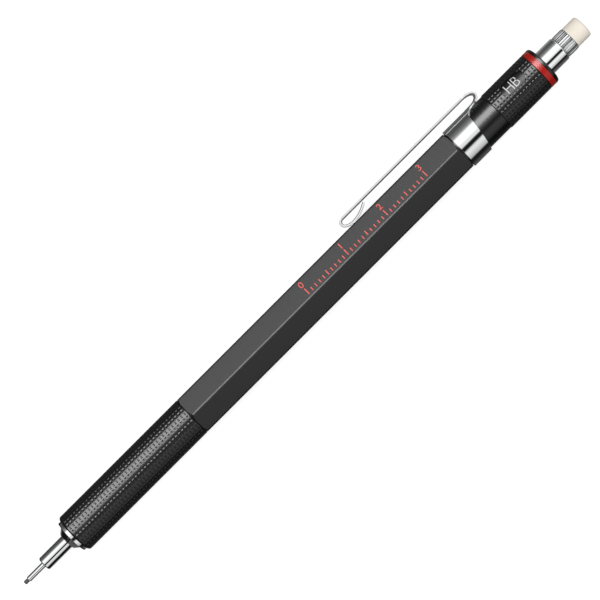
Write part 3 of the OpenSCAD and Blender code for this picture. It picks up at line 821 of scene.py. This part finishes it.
class PENCIL_OT_scale(bpy.types.Operator):
    """Prints a plain red millimetre scale on the flat of the barrel that faces up"""

    bl_idname = "pencil.scale"
    bl_label = "Barrel scale"

    def execute(self, context):
        sizes = context.scene.pencil_sizes
        last = sizes.tick_count - 1
        pieces = []
        high = sizes.tick_low
        for step, tall in ((1, sizes.tick_h), (5, sizes.tick_more), (10, sizes.tick_more)):
            bpy.ops.object.select_all(action="DESELECT")
            bpy.ops.mesh.primitive_plane_add(size=1)
            tick = named("tick")
            tick.scale = (sizes.tick_w, tall, 1)
            tick.location = (sizes.tick_at, high + tall / 2, 0)
            fixed()
            apply_modifier(tick, "ARRAY", count=last // step + 1, use_relative_offset=False,
                           use_constant_offset=True,
                           constant_offset_displace=(step * sizes.tick_step, 0, 0))
            high += tall
            pieces.append(tick)
        lift = high + sizes.digit_h * sizes.digit_lift
        for number in range(last // 10 + 1):
            digit = printed("digit", str(number), sizes.digit_h)
            digit.location = (sizes.tick_at + number * 10 * sizes.tick_step, lift, 0)
            pick(digit)
            fixed()
            pieces.append(digit)
        scale = joined("barrel_scale", pieces)
        merge(scale)
        apply_modifier(scale, "SOLIDIFY", thickness=sizes.print_height, offset=1)
        scale.location = (0, 0, radius("barrel"))
        fixed()
        next_flat = math.pi / 3
        scale.rotation_euler.x = next_flat
        lay(scale)
        coat(scale, material("print_red"))
        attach(scale, BODY_OF["barrel"])
        return {"FINISHED"}


# Rows of the clip's root: share of its length, width in widths of the arm, and how much of the
# ring's slanted edge is kept
CLIP_ROOT = (
    (0.03, 2.18, 0.7), (0.08, 2.08, 0.6), (0.17, 1.92, 0.5), (0.28, 1.73, 0), (0.44, 1.54, 0),
    (0.59, 1.36, 0), (0.76, 1.17, 0), (0.9, 1.05, 0), (1, 1, 0))


class PENCIL_OT_clip(bpy.types.Operator):
    """Bends the clip and its ring from one sheet"""

    bl_idname = "pencil.clip"
    bl_label = "Clip"

    def execute(self, context):
        clip = context.scene.pencil_clip
        front, loop_end = span("clip_ring")
        front -= context.scene.pencil_sizes.ring_shift
        ring_end = front + clip.ring_len
        ring_r = AXIS.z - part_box("clip_ring")[0].z
        middle_r = ring_r - clip.sheet / 2
        sheet = rod("clip_sheet", RING_STEPS, middle_r, front, 2 * ring_end - front, "NOTHING")
        lean = math.atan2(clip.slant, 2 * ring_r)
        open_all(sheet, "FACE")
        bpy.ops.mesh.bisect(plane_co=(ring_end, 0, ring_r),
                            plane_no=(math.cos(lean), 0, -math.sin(lean)), clear_outer=True)
        end_edit()

        def rooted(place):
            """Whether a point of the ring lies on the edge that the clip grows from."""
            return place.x > (front + ring_end) / 2 and place.z > 0 and abs(place.y) < clip.root_w

        select_edges(sheet, lambda a, b: rooted(a) and rooted(b))
        self.half_w = max(abs(point.co.y) for point in sheet.data.vertices if rooted(point.co))
        self.sag = middle_r - math.sqrt(middle_r ** 2 - self.half_w ** 2)
        self.slope = 0
        self.centre = Vector((ring_end, 0, middle_r))
        self.bend(clip, ring_end, loop_end)
        end_edit()
        face_out(sheet)
        count = len(sheet.data.vertices)
        rim = self.rim(sheet, front, ring_end, ring_r)
        apply_modifier(sheet, "SOLIDIFY", thickness=clip.sheet, offset=0, use_even_offset=True)
        for across, indices in rim.items():
            both = indices | {index + count for index in indices}
            self.trim(sheet, clip, across * WELD, both)
        soften(sheet, FINE_EDGE, sharp=45, segments=3)
        smooth(sheet, sharp=20)
        lay(sheet)
        coat(sheet, material("chrome"))
        self.flex(sheet, clip)
        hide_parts("clip_ring", "clip_arm")
        return {"FINISHED"}

    def rim(self, sheet, front, ring_end, ring_r):
        """Points of the clip's free edges, listed by their place across the clip."""
        pick(sheet)
        start_edit("VERT")
        bpy.ops.mesh.select_non_manifold()
        end_edit()
        rim = {}
        for point in sheet.data.vertices:
            x, y, z = point.co
            if point.select and (x < front - WELD or x > ring_end or z > ring_r):
                rim.setdefault(round(y / WELD), set()).add(point.index)
        return rim

    def trim(self, sheet, clip, across, indices):
        """Squares a part of the rim, and leans it against the dish a little."""
        select_points(sheet, lambda point: point.index in indices)
        bpy.ops.transform.resize(value=(1, -clip.rim_lean, 1), center_override=(0, across, 0))
        end_edit()

    def row(self, station, height, slope, half_w, sag, keep=0):
        """Extrudes the last row to its next place, with a share of its bend along the pencil."""
        bpy.ops.mesh.extrude_region_move()
        bpy.ops.transform.rotate(value=-self.slope, orient_axis="Y", center_override=self.centre)
        bpy.ops.transform.resize(value=(keep, half_w / self.half_w, sag / self.sag),
                                 center_override=self.centre)
        centre = Vector((station, 0, height))
        bpy.ops.transform.translate(value=centre - self.centre)
        bpy.ops.transform.rotate(value=slope, orient_axis="Y", center_override=centre)
        self.centre, self.slope, self.half_w, self.sag = centre, slope, half_w, sag

    def arc(self, centre, spread, first, last, steps, sag):
        """Extrudes rows along an ellipse's arc up to a sag; a turn of 0 is its lowest point."""
        start = self.sag
        for i in range(1, steps + 1):
            turn = first + (last - first) * i / steps
            across, up = spread[0] * math.sin(turn), -spread[1] * math.cos(turn)
            lean = math.atan2(spread[1] * math.sin(turn), spread[0] * math.cos(turn)) - turn
            slope = turn + lean - math.tau * round(lean / math.tau)
            self.row(centre[0] + across, centre[1] + up, slope, self.half_w,
                     start + (sag - start) * i / steps)

    def bend(self, clip, ring_end, loop_end):
        """Bends tongue, loop, arm, nose, foot and tail."""
        wide, half = clip.half_w, clip.sheet / 2
        root = self.centre.z
        rear = loop_end - half - clip.loop_dish
        start = rear - clip.loop_low_run
        for part, grow, keep in CLIP_ROOT:
            sag = root - math.sqrt(root ** 2 - (wide * grow) ** 2)
            self.row(ring_end + (start - ring_end) * part, root + (clip.loop_low - root) * part, 0,
                     wide * grow, sag, keep)
        self.arc((start, clip.loop_mid), (clip.loop_low_run, clip.loop_mid - clip.loop_low),
                 0, math.pi / 2, steps=10, sag=clip.loop_dish)
        top = clip.reach - half - clip.dish
        start = rear - clip.loop_high_run
        self.arc((start, clip.loop_mid), (clip.loop_high_run, top - clip.loop_mid),
                 math.pi / 2, math.pi, steps=12, sag=clip.dish)

        front = span("clip_arm")[0]
        nose_x = front + half + (clip.dish + clip.foot_dish) / 2 + clip.nose_r
        for part in (0.25, 0.5, 0.75, 1):
            self.row(start + (nose_x - start) * part, top, math.pi, wide, clip.dish)
        nose_turn = math.tau - clip.nose_slope
        self.arc((nose_x, top - clip.nose_r), (clip.nose_r, clip.nose_r),
                 math.pi, nose_turn, steps=16, sag=clip.foot_dish)

        foot_low = radius("barrel") + FIT + half + clip.foot_dish
        meet_h = foot_low + clip.foot_r * (1 - math.cos(clip.nose_slope))
        meet = self.centre.x + (self.centre.z - meet_h) / math.tan(clip.nose_slope)
        foot_x = meet + clip.foot_r * math.sin(clip.nose_slope)
        self.arc((foot_x, foot_low + clip.foot_r), (clip.foot_r, clip.foot_r),
                 nose_turn, math.tau, steps=8, sag=clip.foot_dish)
        tail_turn = math.tau + clip.tail_slope
        self.arc((foot_x, foot_low + clip.tail_r), (clip.tail_r, clip.tail_r),
                 math.tau, tail_turn, steps=6, sag=clip.foot_dish)
        tail = self.centre.copy()
        run = front + clip.tail_len - tail.x
        rise = run * math.tan(clip.tail_slope)
        for part in (0.5, 1):
            self.row(tail.x + run * part, tail.z + rise * part, tail_turn, wide, clip.foot_dish)

    def flex(self, sheet, clip):
        """Bakes the laid sheet's place into its mesh."""
        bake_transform(sheet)


class PENCIL_OT_neck(bpy.types.Operator):
    """Models the glossy neck with its spigot and guide tube"""

    bl_idname = "pencil.neck"
    bl_label = "Neck"

    def execute(self, context):
        sizes = context.scene.pencil_sizes
        front, back = span("neck")
        barrel = span("barrel")[1] - sizes.ring_shift
        ring = span("clip_ring")[0] - sizes.ring_shift
        dial = span("grade_drum")[0]
        neck_r = radius("neck")
        bore_r = radius("push_button") + SLIDE
        guide_r = bore_r + sizes.guide_wall
        guide = span("push_button")[0] - JOINTS["button_push"]["range_m"][1] - ROOM
        neck = turned("neck_shell", [
            (front, sizes.barrel_bore_r), (front, sizes.spigot_r), (barrel, sizes.spigot_r),
            (barrel, sizes.seat_r), (ring + ROOM, sizes.seat_r), (ring + ROOM, neck_r),
            (dial, neck_r), (dial, guide_r), (back, guide_r), (back, bore_r), (guide, bore_r),
            (guide, sizes.barrel_bore_r)])
        soften(neck, SOFT_EDGE)
        smooth(neck)
        hand_over(neck, "neck", material("gloss"))
        return {"FINISHED"}


class PENCIL_OT_drum(bpy.types.Operator):
    """Models the grade drum and prints the grades of lead on it"""

    bl_idname = "pencil.drum"
    bl_label = "Grade drum"

    grades: StringProperty(name="Grades", default="HB B 2B 2H H F",
                           description="Grades round the drum, the first in the window")

    def execute(self, context):
        sizes = context.scene.pencil_sizes
        front, back = span("grade_drum")
        drum_r = radius("grade_drum")
        bore_r = radius("push_button") + SLIDE + sizes.guide_wall + FIT
        drum = turned("drum_shell", [
            (front, bore_r), (front, drum_r), (back, drum_r), (back, bore_r)])
        soften(drum, SOFT_EDGE)
        smooth(drum)
        window = span("grade_dial")[0] + sizes.window_at
        grades = self.grades.split()
        reach = GRADE_CUTS // 2 + 1
        letters = []
        for i, grade in enumerate(grades):
            letter = printed("grade", grade, sizes.grade_h, sizes.grade_thin, sizes.grade_close)
            start_edit("VERT")
            for cut in range(-reach, reach + 1):
                bpy.ops.mesh.select_all(action="SELECT")
                height = cut * sizes.grade_h / GRADE_CUTS
                bpy.ops.mesh.bisect(plane_co=(0, height, 0), plane_no=(0, 1, 0))
            end_edit()
            letter.scale.x = sizes.grade_narrow
            letter.location = (window - sizes.grade_shift, 0, 2 * drum_r)
            fixed()
            apply_modifier(letter, "SHRINKWRAP", target=drum, wrap_method="PROJECT",
                           use_project_z=True, use_negative_direction=True,
                           use_positive_direction=False, offset=sizes.print_height / 2)
            apply_modifier(letter, "SOLIDIFY", thickness=sizes.print_height, offset=0)
            letter.rotation_euler.x = sizes.window_turn + math.tau * i / len(grades)
            pick(letter)
            fixed()
            letters.append(letter)
        printed_grades = joined("grade_letters", letters)
        lay(printed_grades)
        coat(printed_grades, material("print_white"))
        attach(printed_grades, BODY_OF["grade_drum"])
        hand_over(drum, "grade_drum", material("drum"))
        return {"FINISHED"}


class PENCIL_OT_dial(bpy.types.Operator):
    """Models the knurled dial with its window and index groove"""

    bl_idname = "pencil.dial"
    bl_label = "Grade dial"

    def execute(self, context):
        sizes = context.scene.pencil_sizes
        front, back = span("grade_dial")
        dial_r = radius("grade_dial")
        end_r = dial_r - sizes.dial_chamfer
        bore_r = sizes.dial_bore_r / math.cos(math.pi / sizes.knurl_columns)
        dial = knurled(
            "dial_shell", front + sizes.dial_chamfer, back - sizes.dial_chamfer, dial_r,
            sizes, sizes.dial_turn,
            [(front, end_r), (front, bore_r), (back, bore_r), (back, end_r)])
        window = front + sizes.window_at
        half_w = sizes.window_w / 2
        straight = sizes.window_len / 2 - half_w
        bpy.ops.object.select_all(action="DESELECT")
        bpy.ops.mesh.primitive_cylinder_add(vertices=64, radius=half_w, depth=2 * dial_r,
                                            location=(window, 0, 1.5 * dial_r))
        hole = named("window")
        fixed()
        open_all(hole, "FACE")
        bpy.ops.mesh.bisect(plane_co=(window, 0, 0), plane_no=(1, 0, 0))
        end_edit()
        for move in (straight, -straight):
            select_points(hole, lambda point: (point.co.x >= window) == (move > 0))
            bpy.ops.transform.translate(value=(move, 0, 0))
            end_edit()
        hole.rotation_euler.x = sizes.window_turn
        pick(hole)
        fixed()
        carve(dial, hole)
        bpy.ops.object.select_all(action="DESELECT")
        bpy.ops.mesh.primitive_cube_add(size=1, location=(0, 0, 0))
        groove = named("index")
        groove.scale = (2 * (back - front), sizes.index_w, 2 * sizes.index_depth)
        groove.location = (window, 0, dial_r)
        fixed()
        groove.rotation_euler.x = sizes.window_turn
        fixed()
        carve(dial, groove)
        smooth(dial, sharp=12)
        hand_over(dial, "grade_dial", material("knurl"))
        return {"FINISHED"}


class PENCIL_OT_rings(bpy.types.Operator):
    """Models the red ring and the black end rim"""

    bl_idname = "pencil.rings"
    bl_label = "Red ring and end rim"

    def execute(self, context):
        sizes = context.scene.pencil_sizes
        bore_r = radius("push_button") + SLIDE
        guide_r = bore_r + sizes.guide_wall + FIT
        front = span("red_ring")[0]
        back = front + sizes.red_w
        red_r = radius("red_ring")
        red = turned("red_band", [(front, guide_r), (front, red_r), (back, red_r), (back, guide_r)])
        soften(red, SOFT_EDGE)
        smooth(red)
        hand_over(red, "red_ring", material("red"))

        front, back = back, back + sizes.rim_w
        lip = span("neck")[1]
        rim = turned("rim_shell", [(front, guide_r), (front, radius("end_rim"))]
                     + round_edge(back, radius("end_rim"), sizes.rim_edge_r)
                     + [(back, bore_r), (lip, bore_r), (lip, guide_r)])
        smooth(rim)
        hand_over(rim, "end_rim", material("gloss"))
        return {"FINISHED"}


class PENCIL_OT_button(bpy.types.Operator):
    """Models the push button"""

    bl_idname = "pencil.button"
    bl_label = "Push button"

    def execute(self, context):
        sizes = context.scene.pencil_sizes
        front, back = span("push_button")
        button_r = radius("push_button")
        magazine_r = radius("lead_magazine") + FIT
        magazine = span("lead_magazine")[1]
        stop_r = magazine_r - sizes.magazine_stop
        cup = span("eraser_ferrule")[0]
        cup_r = sizes.cup_r + FIT
        button = turned("button_shell", [
            (front, magazine_r), (front, button_r), (back - sizes.button_chamfer, button_r),
            (back, button_r - sizes.button_inset), (back, cup_r), (cup, cup_r), (cup, stop_r),
            (magazine, stop_r), (magazine, magazine_r)])
        soften(button, SOFT_EDGE)
        weld(button)
        smooth(button, sharp=25)
        hand_over(button, "push_button", material("polish"))
        return {"FINISHED"}


class PENCIL_OT_ferrule(bpy.types.Operator):
    """Models the ribbed ferrule with the cup that holds the eraser"""

    bl_idname = "pencil.ferrule"
    bl_label = "Ferrule"

    def execute(self, context):
        sizes = context.scene.pencil_sizes
        cup, back = span("eraser_ferrule")
        front = span("push_button")[1]
        outer_r = radius("eraser_ferrule")
        bore_r = sizes.cup_r - sizes.cup_wall
        floor = span("eraser")[0] - FIT
        rib_steps, rows = 8, 8
        bpy.ops.object.select_all(action="DESELECT")
        bpy.ops.mesh.primitive_circle_add(vertices=rib_steps * sizes.ferrule_ribs, radius=outer_r,
                                          location=(front, 0, 0), rotation=(0, math.pi / 2, 0))
        ferrule = named("ferrule_shell")
        fixed()
        for i in range(rib_steps):
            select_points(ferrule, lambda point: point.index % rib_steps == i)
            hollow = max(0, 2 * abs(2 * i / rib_steps - 1) - 1) * sizes.rib_depth
            grow = 1 - hollow / outer_r
            bpy.ops.transform.resize(value=(1, grow, grow), center_override=(front, 0, 0))
            end_edit()
        edge = sizes.ferrule_edge
        hole_r = sizes.cup_hole_r
        body = []
        for i in range(rows + 1):
            part = i / rows
            body.append((front + edge + (back - front - 2 * edge) * part,
                         outer_r - sizes.ferrule_bulge * (2 * part - 1) ** 2))
        end_r = outer_r - edge
        path = body + [(back, end_r), (back, bore_r), (floor, bore_r), (floor, hole_r),
                       (cup, hole_r), (cup, sizes.cup_r), (front, sizes.cup_r), (front, end_r)]
        open_all(ferrule, "EDGE")
        first = end_r / outer_r
        bpy.ops.transform.resize(value=(1, first, first), center_override=(front, 0, 0))
        extend_rim(front, end_r, path)
        weld(ferrule)
        soften(ferrule, FINE_EDGE, sharp=40)
        smooth(ferrule, sharp=35)
        hand_over(ferrule, "eraser_ferrule", material("ferrule"))
        return {"FINISHED"}


class PENCIL_OT_eraser(bpy.types.Operator):
    """Models the eraser"""

    bl_idname = "pencil.eraser"
    bl_label = "Eraser"

    def execute(self, context):
        sizes = context.scene.pencil_sizes
        front, back = span("eraser")
        head = span("eraser_ferrule")[1] + FIT
        stem_r = sizes.cup_r - sizes.cup_wall - FIT
        head_r = radius("eraser")
        dome = sizes.eraser_dome
        edge = round_edge(back - dome, head_r, sizes.eraser_edge_r)
        flat_r = head_r - sizes.eraser_edge_r
        crown = [(back - dome * r * r, flat_r * r) for r in (0.8, 0.6, 0.4, 0.2)]
        stem = [(front, 0), (front, stem_r), (head, stem_r), (head, head_r)]
        eraser = turned("eraser_block", stem + edge + crown + [(back, 0)], closed=False)
        soften(eraser, ROUND_EDGE, sharp=45)
        smooth(eraser, sharp=40)
        hand_over(eraser, "eraser", material("eraser"))
        return {"FINISHED"}


# Materials of the inner pieces
INNER = {
    "spare_leads": "graphite", "lead_retainer": "rubber", "clutch_ring": "brass", "chuck": "brass",
    "chuck_connector": "brass", "spring_housing": "plastic", "lead_magazine": "plastic",
}


class PENCIL_OT_mechanism(bpy.types.Operator):
    """Winds the spring and coats the pieces inside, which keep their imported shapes"""

    bl_idname = "pencil.mechanism"
    bl_label = "Mechanism"

    def execute(self, context):
        sizes = context.scene.pencil_sizes
        front, back = span("chuck_spring")
        coil_r = radius("chuck_spring") - sizes.wire_r
        pitch = (back - front - 2 * sizes.wire_r) / sizes.spring_turns
        bpy.ops.object.select_all(action="DESELECT")
        bpy.ops.mesh.primitive_circle_add(vertices=12, radius=sizes.wire_r, location=(0, 0, coil_r),
                                          rotation=(math.pi / 2, 0, 0))
        spring = named("spring_wire")
        fixed()
        apply_modifier(spring, "SCREW", axis="X", angle=math.tau, iterations=sizes.spring_turns,
                       screw_offset=pitch, steps=32, render_steps=32, use_merge_vertices=False)
        open_all(spring, "VERT")
        bpy.ops.mesh.fill_holes(sides=0)
        end_edit()
        weld(spring)
        low = min(point.co.x for point in spring.data.vertices)
        spring.location.x = front - low
        pick(spring)
        fixed()
        smooth(spring, sharp=40)
        lay(spring)
        coat(spring, material("steel"))
        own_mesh(spring)
        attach(spring, BODY_OF["chuck_spring"])
        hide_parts("chuck_spring")
        for node, name in INNER.items():
            coat(frame["nodes"][node], material(name))
        return {"FINISHED"}


# Shades of the cards: degrees from the far side upwards, and brightness
CARDS = {
    "top_card": (
        (56, 0.25), (62, 0.35), (68, 0.6), (72, 0.95), (75, 1.35), (106, 1.35), (110, 1.15),
        (114, 1), (126, 0.9)),
    "back_card": (
        (-2, 0.1), (10, 0.1), (20, 0.09), (30, 0.09), (40, 0.13), (50, 0.2), (56, 0.25)),
    "front_card": (
        (126, 0.9), (129, 0.35), (132, 0.05), (136, 0.01), (144, 0.01), (148, 0.06), (151, 0.3),
        (155, 0.8), (160, 0.95), (167, 1), (174, 0.9), (180, 0.78)),
}
# Shades of the mats on the floor: millimetres from the axis to the far side, and brightness
MATS = {
    "front_mat": (
        (-900, 0.75), (-60, 0.76), (-25, 0.6), (-20, 0.52), (-18, 0.36), (-16, 0.06), (-14, 0.008),
        (-9.4, 0.006), (-7, 0.03), (-5.1, 0.08), (-4.4, 0.1), (-1, 0.12)),
    "back_mat": (
        (0.5, 0.12), (2.4, 0.25), (5, 0.25), (11.6, 0.14), (24, 0.08), (60, 0.1), (900, 0.1)),
    "tip_mat": (
        (-14, 0.006), (-3.6, 0.006), (-3, 0.1), (6, 0.2), (8.5, 0.15), (10.5, 0.008), (60, 0.008)),
    "button_mat": (
        (0.5, 0.12), (2.4, 0.25), (5, 0.25), (9, 0.3), (17, 0.34), (24, 0.3), (60, 0.26),
        (900, 0.24)),
}
# Shades of the card past the lead's point: share of its height, and brightness
END_CARD = ((0, 0.02), (0.5, 0.03), (1, 0.1))


class PENCIL_OT_stage(bpy.types.Operator):
    """Sets the room, the floor, the lamps, the cards that bright surfaces mirror and the camera"""

    bl_idname = "pencil.stage"
    bl_label = "Stage"

    def execute(self, context):
        stage = context.scene.pencil_stage
        self.room(context, stage)
        self.floor(stage)
        self.lamp(stage)
        self.gloss(stage)
        self.cards(context, stage)
        self.camera(context, stage)
        context.scene.view_settings.view_transform = "Standard"
        return {"FINISHED"}

    def seen(self, tree):
        """A factor of 1 for camera, glossy and transmission rays."""
        path = add_node(tree, "ShaderNodeLightPath", {}).outputs
        seen = path["Is Camera Ray"]
        for ray in ("Is Glossy Ray", "Is Transmission Ray"):
            seen = add_node(tree, "ShaderNodeMath", {0: seen, 1: path[ray]},
                            operation="MAXIMUM").outputs[0]
        return seen

    def room(self, context, stage):
        """A white room in view that lights dull surfaces softly."""
        world = bpy.data.worlds.new("room")
        context.scene.world = world
        world.use_nodes = True
        tree = world.node_tree
        strength = vary(tree, self.seen(tree), stage.fill, 1)
        tree.links.new(strength, tree.nodes["Background"].inputs["Strength"])
        tree.nodes["Background"].inputs["Color"].default_value = (1, 1, 1, 1)

    def floor(self, stage):
        """A pale floor that keeps the pencil's shadow."""
        bpy.ops.object.select_all(action="DESELECT")
        bpy.ops.mesh.primitive_plane_add(size=stage.floor_size)
        floor = named("floor")
        paint, tree, surface, place = new_material("floor")
        grain = add_node(tree, "ShaderNodeTexNoise", {"Vector": place, "Scale": 40.0})
        pale = tone(tree, grain.outputs["Fac"], [stage.floor] * 3, spread=0.01)
        tree.links.new(pale, surface.inputs["Base Color"])
        surface.inputs["Roughness"].default_value = 1
        surface.inputs["Specular IOR Level"].default_value = 0
        surface.inputs["Emission Color"].default_value = (1, 1, 1, 1)
        lift = vary(tree, self.seen(tree), 0, stage.floor_lift)
        tree.links.new(lift, surface.inputs["Emission Strength"])
        coat(floor, paint)

    def area(self, name, long, wide, energy, place):
        """A rectangular lamp."""
        bpy.ops.object.light_add(type="AREA")
        lamp = named(name)
        lamp.data.shape = "RECTANGLE"
        lamp.data.size = long
        lamp.data.size_y = wide
        lamp.data.energy = energy
        lamp.matrix_world = place
        return lamp

    def lamp(self, stage):
        """A soft lamp for dull surfaces; bright ones mirror the cards instead."""
        energy = stage.key_light * (math.pi * stage.lamp_far) ** 2
        place = self.facing(stage.key_turn, stage.lamp_far, 1, 1)
        lamp = self.area("key_lamp", stage.lamp_len, stage.lamp_w, energy, place)
        lamp.visible_glossy = False

    def gloss(self, stage):
        """A lamp overhead that only dark and coloured surfaces mirror."""
        energy = stage.gloss_light * math.pi * stage.card_len * stage.gloss_w
        place = self.facing(stage.gloss_turn, stage.gloss_far, 1, 1)
        lamp = self.area("gloss_lamp", stage.card_len, stage.gloss_w, energy, place)
        lamp.visible_diffuse = False
        dark = bpy.data.collections.new("dark_pieces")
        coats = [MATERIALS[name] for name in DARK]
        for piece in bpy.data.objects:
            if piece.active_material in coats:
                dark.objects.link(piece)
        lamp.light_linking.receiver_collection = dark

    def facing(self, turn, far, long, wide):
        """Place of a flat thing with its back to the pencil, turned from the far side upwards."""
        out = Vector((0, math.cos(turn), math.sin(turn)))
        across = Vector((0, math.sin(turn), -math.cos(turn)))
        place = Matrix((X_AXIS * long, across * wide, out)).transposed().to_4x4()
        place.translation = Vector((0, AXIS.y, AXIS.z)) + out * far
        return place

    def card(self, name, stage, shades):
        """A card that bright surfaces mirror, with shades from its top to its bottom edge."""
        turns = [math.radians(degrees) for degrees, value in shades]
        middle = (turns[0] + turns[-1]) / 2
        half = math.tan(abs(turns[-1] - turns[0]) / 2)
        stops = [(0.5 - math.tan(turn - middle) / half / 2, value)
                 for turn, (degrees, value) in zip(turns, shades)]
        wide = 2 * half * stage.card_far
        self.show(name, self.facing(middle, stage.card_far, stage.card_len, wide), stops)

    def mat(self, name, stage, middle=0, lift=FIT):
        """A mat on the floor that bright surfaces mirror, with shades across it."""
        shades = MATS[name]
        near, far = shades[0][0], shades[-1][0]
        place = Matrix.Diagonal((stage.card_len, (far - near) * MM, 1, 1))
        place.translation = Vector((middle, AXIS.y + (near + far) / 2 * MM, lift))
        self.show(name, place, [((at - near) / (far - near), value) for at, value in shades])

    def show(self, name, place, stops):
        """Adds a card that only mirrors show, with brightness stops across it."""
        bpy.ops.object.select_all(action="DESELECT")
        bpy.ops.mesh.primitive_plane_add(size=1)
        card = named(name)
        card.matrix_world = place
        paint, tree, surface, coords = new_material(name)
        tree.nodes.remove(surface)
        part = add_node(tree, "ShaderNodeSeparateXYZ", {"Vector": coords}).outputs["Y"]
        along = add_node(tree, "ShaderNodeMapRange",
                         {"Value": part, "From Min": -0.5, "From Max": 0.5}).outputs["Result"]
        ramp = add_node(tree, "ShaderNodeValToRGB", {"Fac": along})
        peak = max(value for at, value in stops)
        marks = ramp.color_ramp.elements
        for at, value in sorted(stops)[1:-1]:
            marks.new(at)
        for mark, (at, value) in zip(marks, sorted(stops)):
            mark.position = at
            mark.color = (value / peak, value / peak, value / peak, 1)
        glow = add_node(tree, "ShaderNodeEmission",
                        {"Color": ramp.outputs["Color"], "Strength": peak})
        tree.links.new(glow.outputs[0], tree.nodes["Material Output"].inputs["Surface"])
        paint.cycles.emission_sampling = "AUTO" if peak > 1 else "NONE"
        coat(card, paint)
        for ray in ("camera", "diffuse", "transmission", "shadow"):
            setattr(card, "visible_" + ray, False)

    def cards(self, context, stage):
        """The bright and dark bands that plated and glossy surfaces mirror."""
        for name, shades in CARDS.items():
            self.card(name, stage, shades)
        half = stage.card_len / 2
        cone = POINT_X + span("nose_piece")[0] + context.scene.pencil_sizes.tube_len
        rim = POINT_X + span("end_rim")[1]
        self.mat("front_mat", stage)
        self.mat("back_mat", stage)
        self.mat("tip_mat", stage, cone - half, 2 * FIT)
        self.mat("button_mat", stage, rim + half, 2 * FIT)
        place = Matrix(((0, 0, -1, -stage.card_far), (stage.card_len, 0, 0, 0),
                        (0, stage.card_far, 0, stage.card_far / 2), (0, 0, 0, 1)))
        self.show("end_card", place, END_CARD)

    def camera(self, context, stage):
        """The camera, square on to the pencil's seen side and turned to lie corner to corner."""
        right = (X_AXIS - CLIP_SIDE).normalized()
        up = (X_AXIS + CLIP_SIDE).normalized()
        aim = Vector((0, AXIS.y, AXIS.z)) + stage.aim_right * right + stage.aim_up * up
        bpy.ops.object.camera_add()
        camera = bpy.context.active_object
        camera.name = "camera"
        camera.data.lens = stage.lens
        camera.data.clip_start = 10 * MM
        place = Matrix((right, up, SEEN_SIDE)).transposed().to_4x4()
        place.translation = aim + stage.distance * SEEN_SIDE
        camera.matrix_world = place
        context.scene.camera = camera


class PENCIL_PT_panel(bpy.types.Panel):
    """Lists the pencil's operators in the sidebar"""

    bl_idname = "PENCIL_PT_panel"
    bl_label = "Drafting pencil"
    bl_space_type = "VIEW_3D"
    bl_region_type = "UI"
    bl_category = "Pencil"

    def draw(self, context):
        for step in STEPS:
            self.layout.operator(step.bl_idname)


GROUPS = {
    "pencil_sizes": PencilSizes,
    "pencil_clip": PencilClip,
    "pencil_colours": PencilColours,
    "pencil_stage": PencilStage,
}
STEPS = (
    PENCIL_OT_tip,
    PENCIL_OT_nose,
    PENCIL_OT_grip,
    PENCIL_OT_barrel,
    PENCIL_OT_scale,
    PENCIL_OT_clip,
    PENCIL_OT_neck,
    PENCIL_OT_drum,
    PENCIL_OT_dial,
    PENCIL_OT_rings,
    PENCIL_OT_button,
    PENCIL_OT_ferrule,
    PENCIL_OT_eraser,
    PENCIL_OT_mechanism,
    PENCIL_OT_stage,
)


def register():
    """Registers the properties, the operators and the panel."""
    for group in GROUPS.values():
        bpy.utils.register_class(group)
    for name, group in GROUPS.items():
        setattr(bpy.types.Scene, name, PointerProperty(type=group))
    for step in STEPS:
        bpy.utils.register_class(step)
    bpy.utils.register_class(PENCIL_PT_panel)


def unregister():
    """Takes them out again."""
    bpy.utils.unregister_class(PENCIL_PT_panel)
    for step in reversed(STEPS):
        bpy.utils.unregister_class(step)
    for name in GROUPS:
        delattr(bpy.types.Scene, name)
    for group in reversed(GROUPS.values()):
        bpy.utils.unregister_class(group)


def main():
    """Builds the pencil and its stage."""
    register()
    bpy.ops.pencil.tip()
    bpy.ops.pencil.nose()
    bpy.ops.pencil.grip()
    bpy.ops.pencil.barrel()
    bpy.ops.pencil.scale()
    bpy.ops.pencil.clip()
    bpy.ops.pencil.neck()
    bpy.ops.pencil.drum()
    bpy.ops.pencil.dial()
    bpy.ops.pencil.rings()
    bpy.ops.pencil.button()
    bpy.ops.pencil.ferrule()
    bpy.ops.pencil.eraser()
    bpy.ops.pencil.mechanism()
    bpy.ops.pencil.stage()


if __name__ == "__main__":
    main()
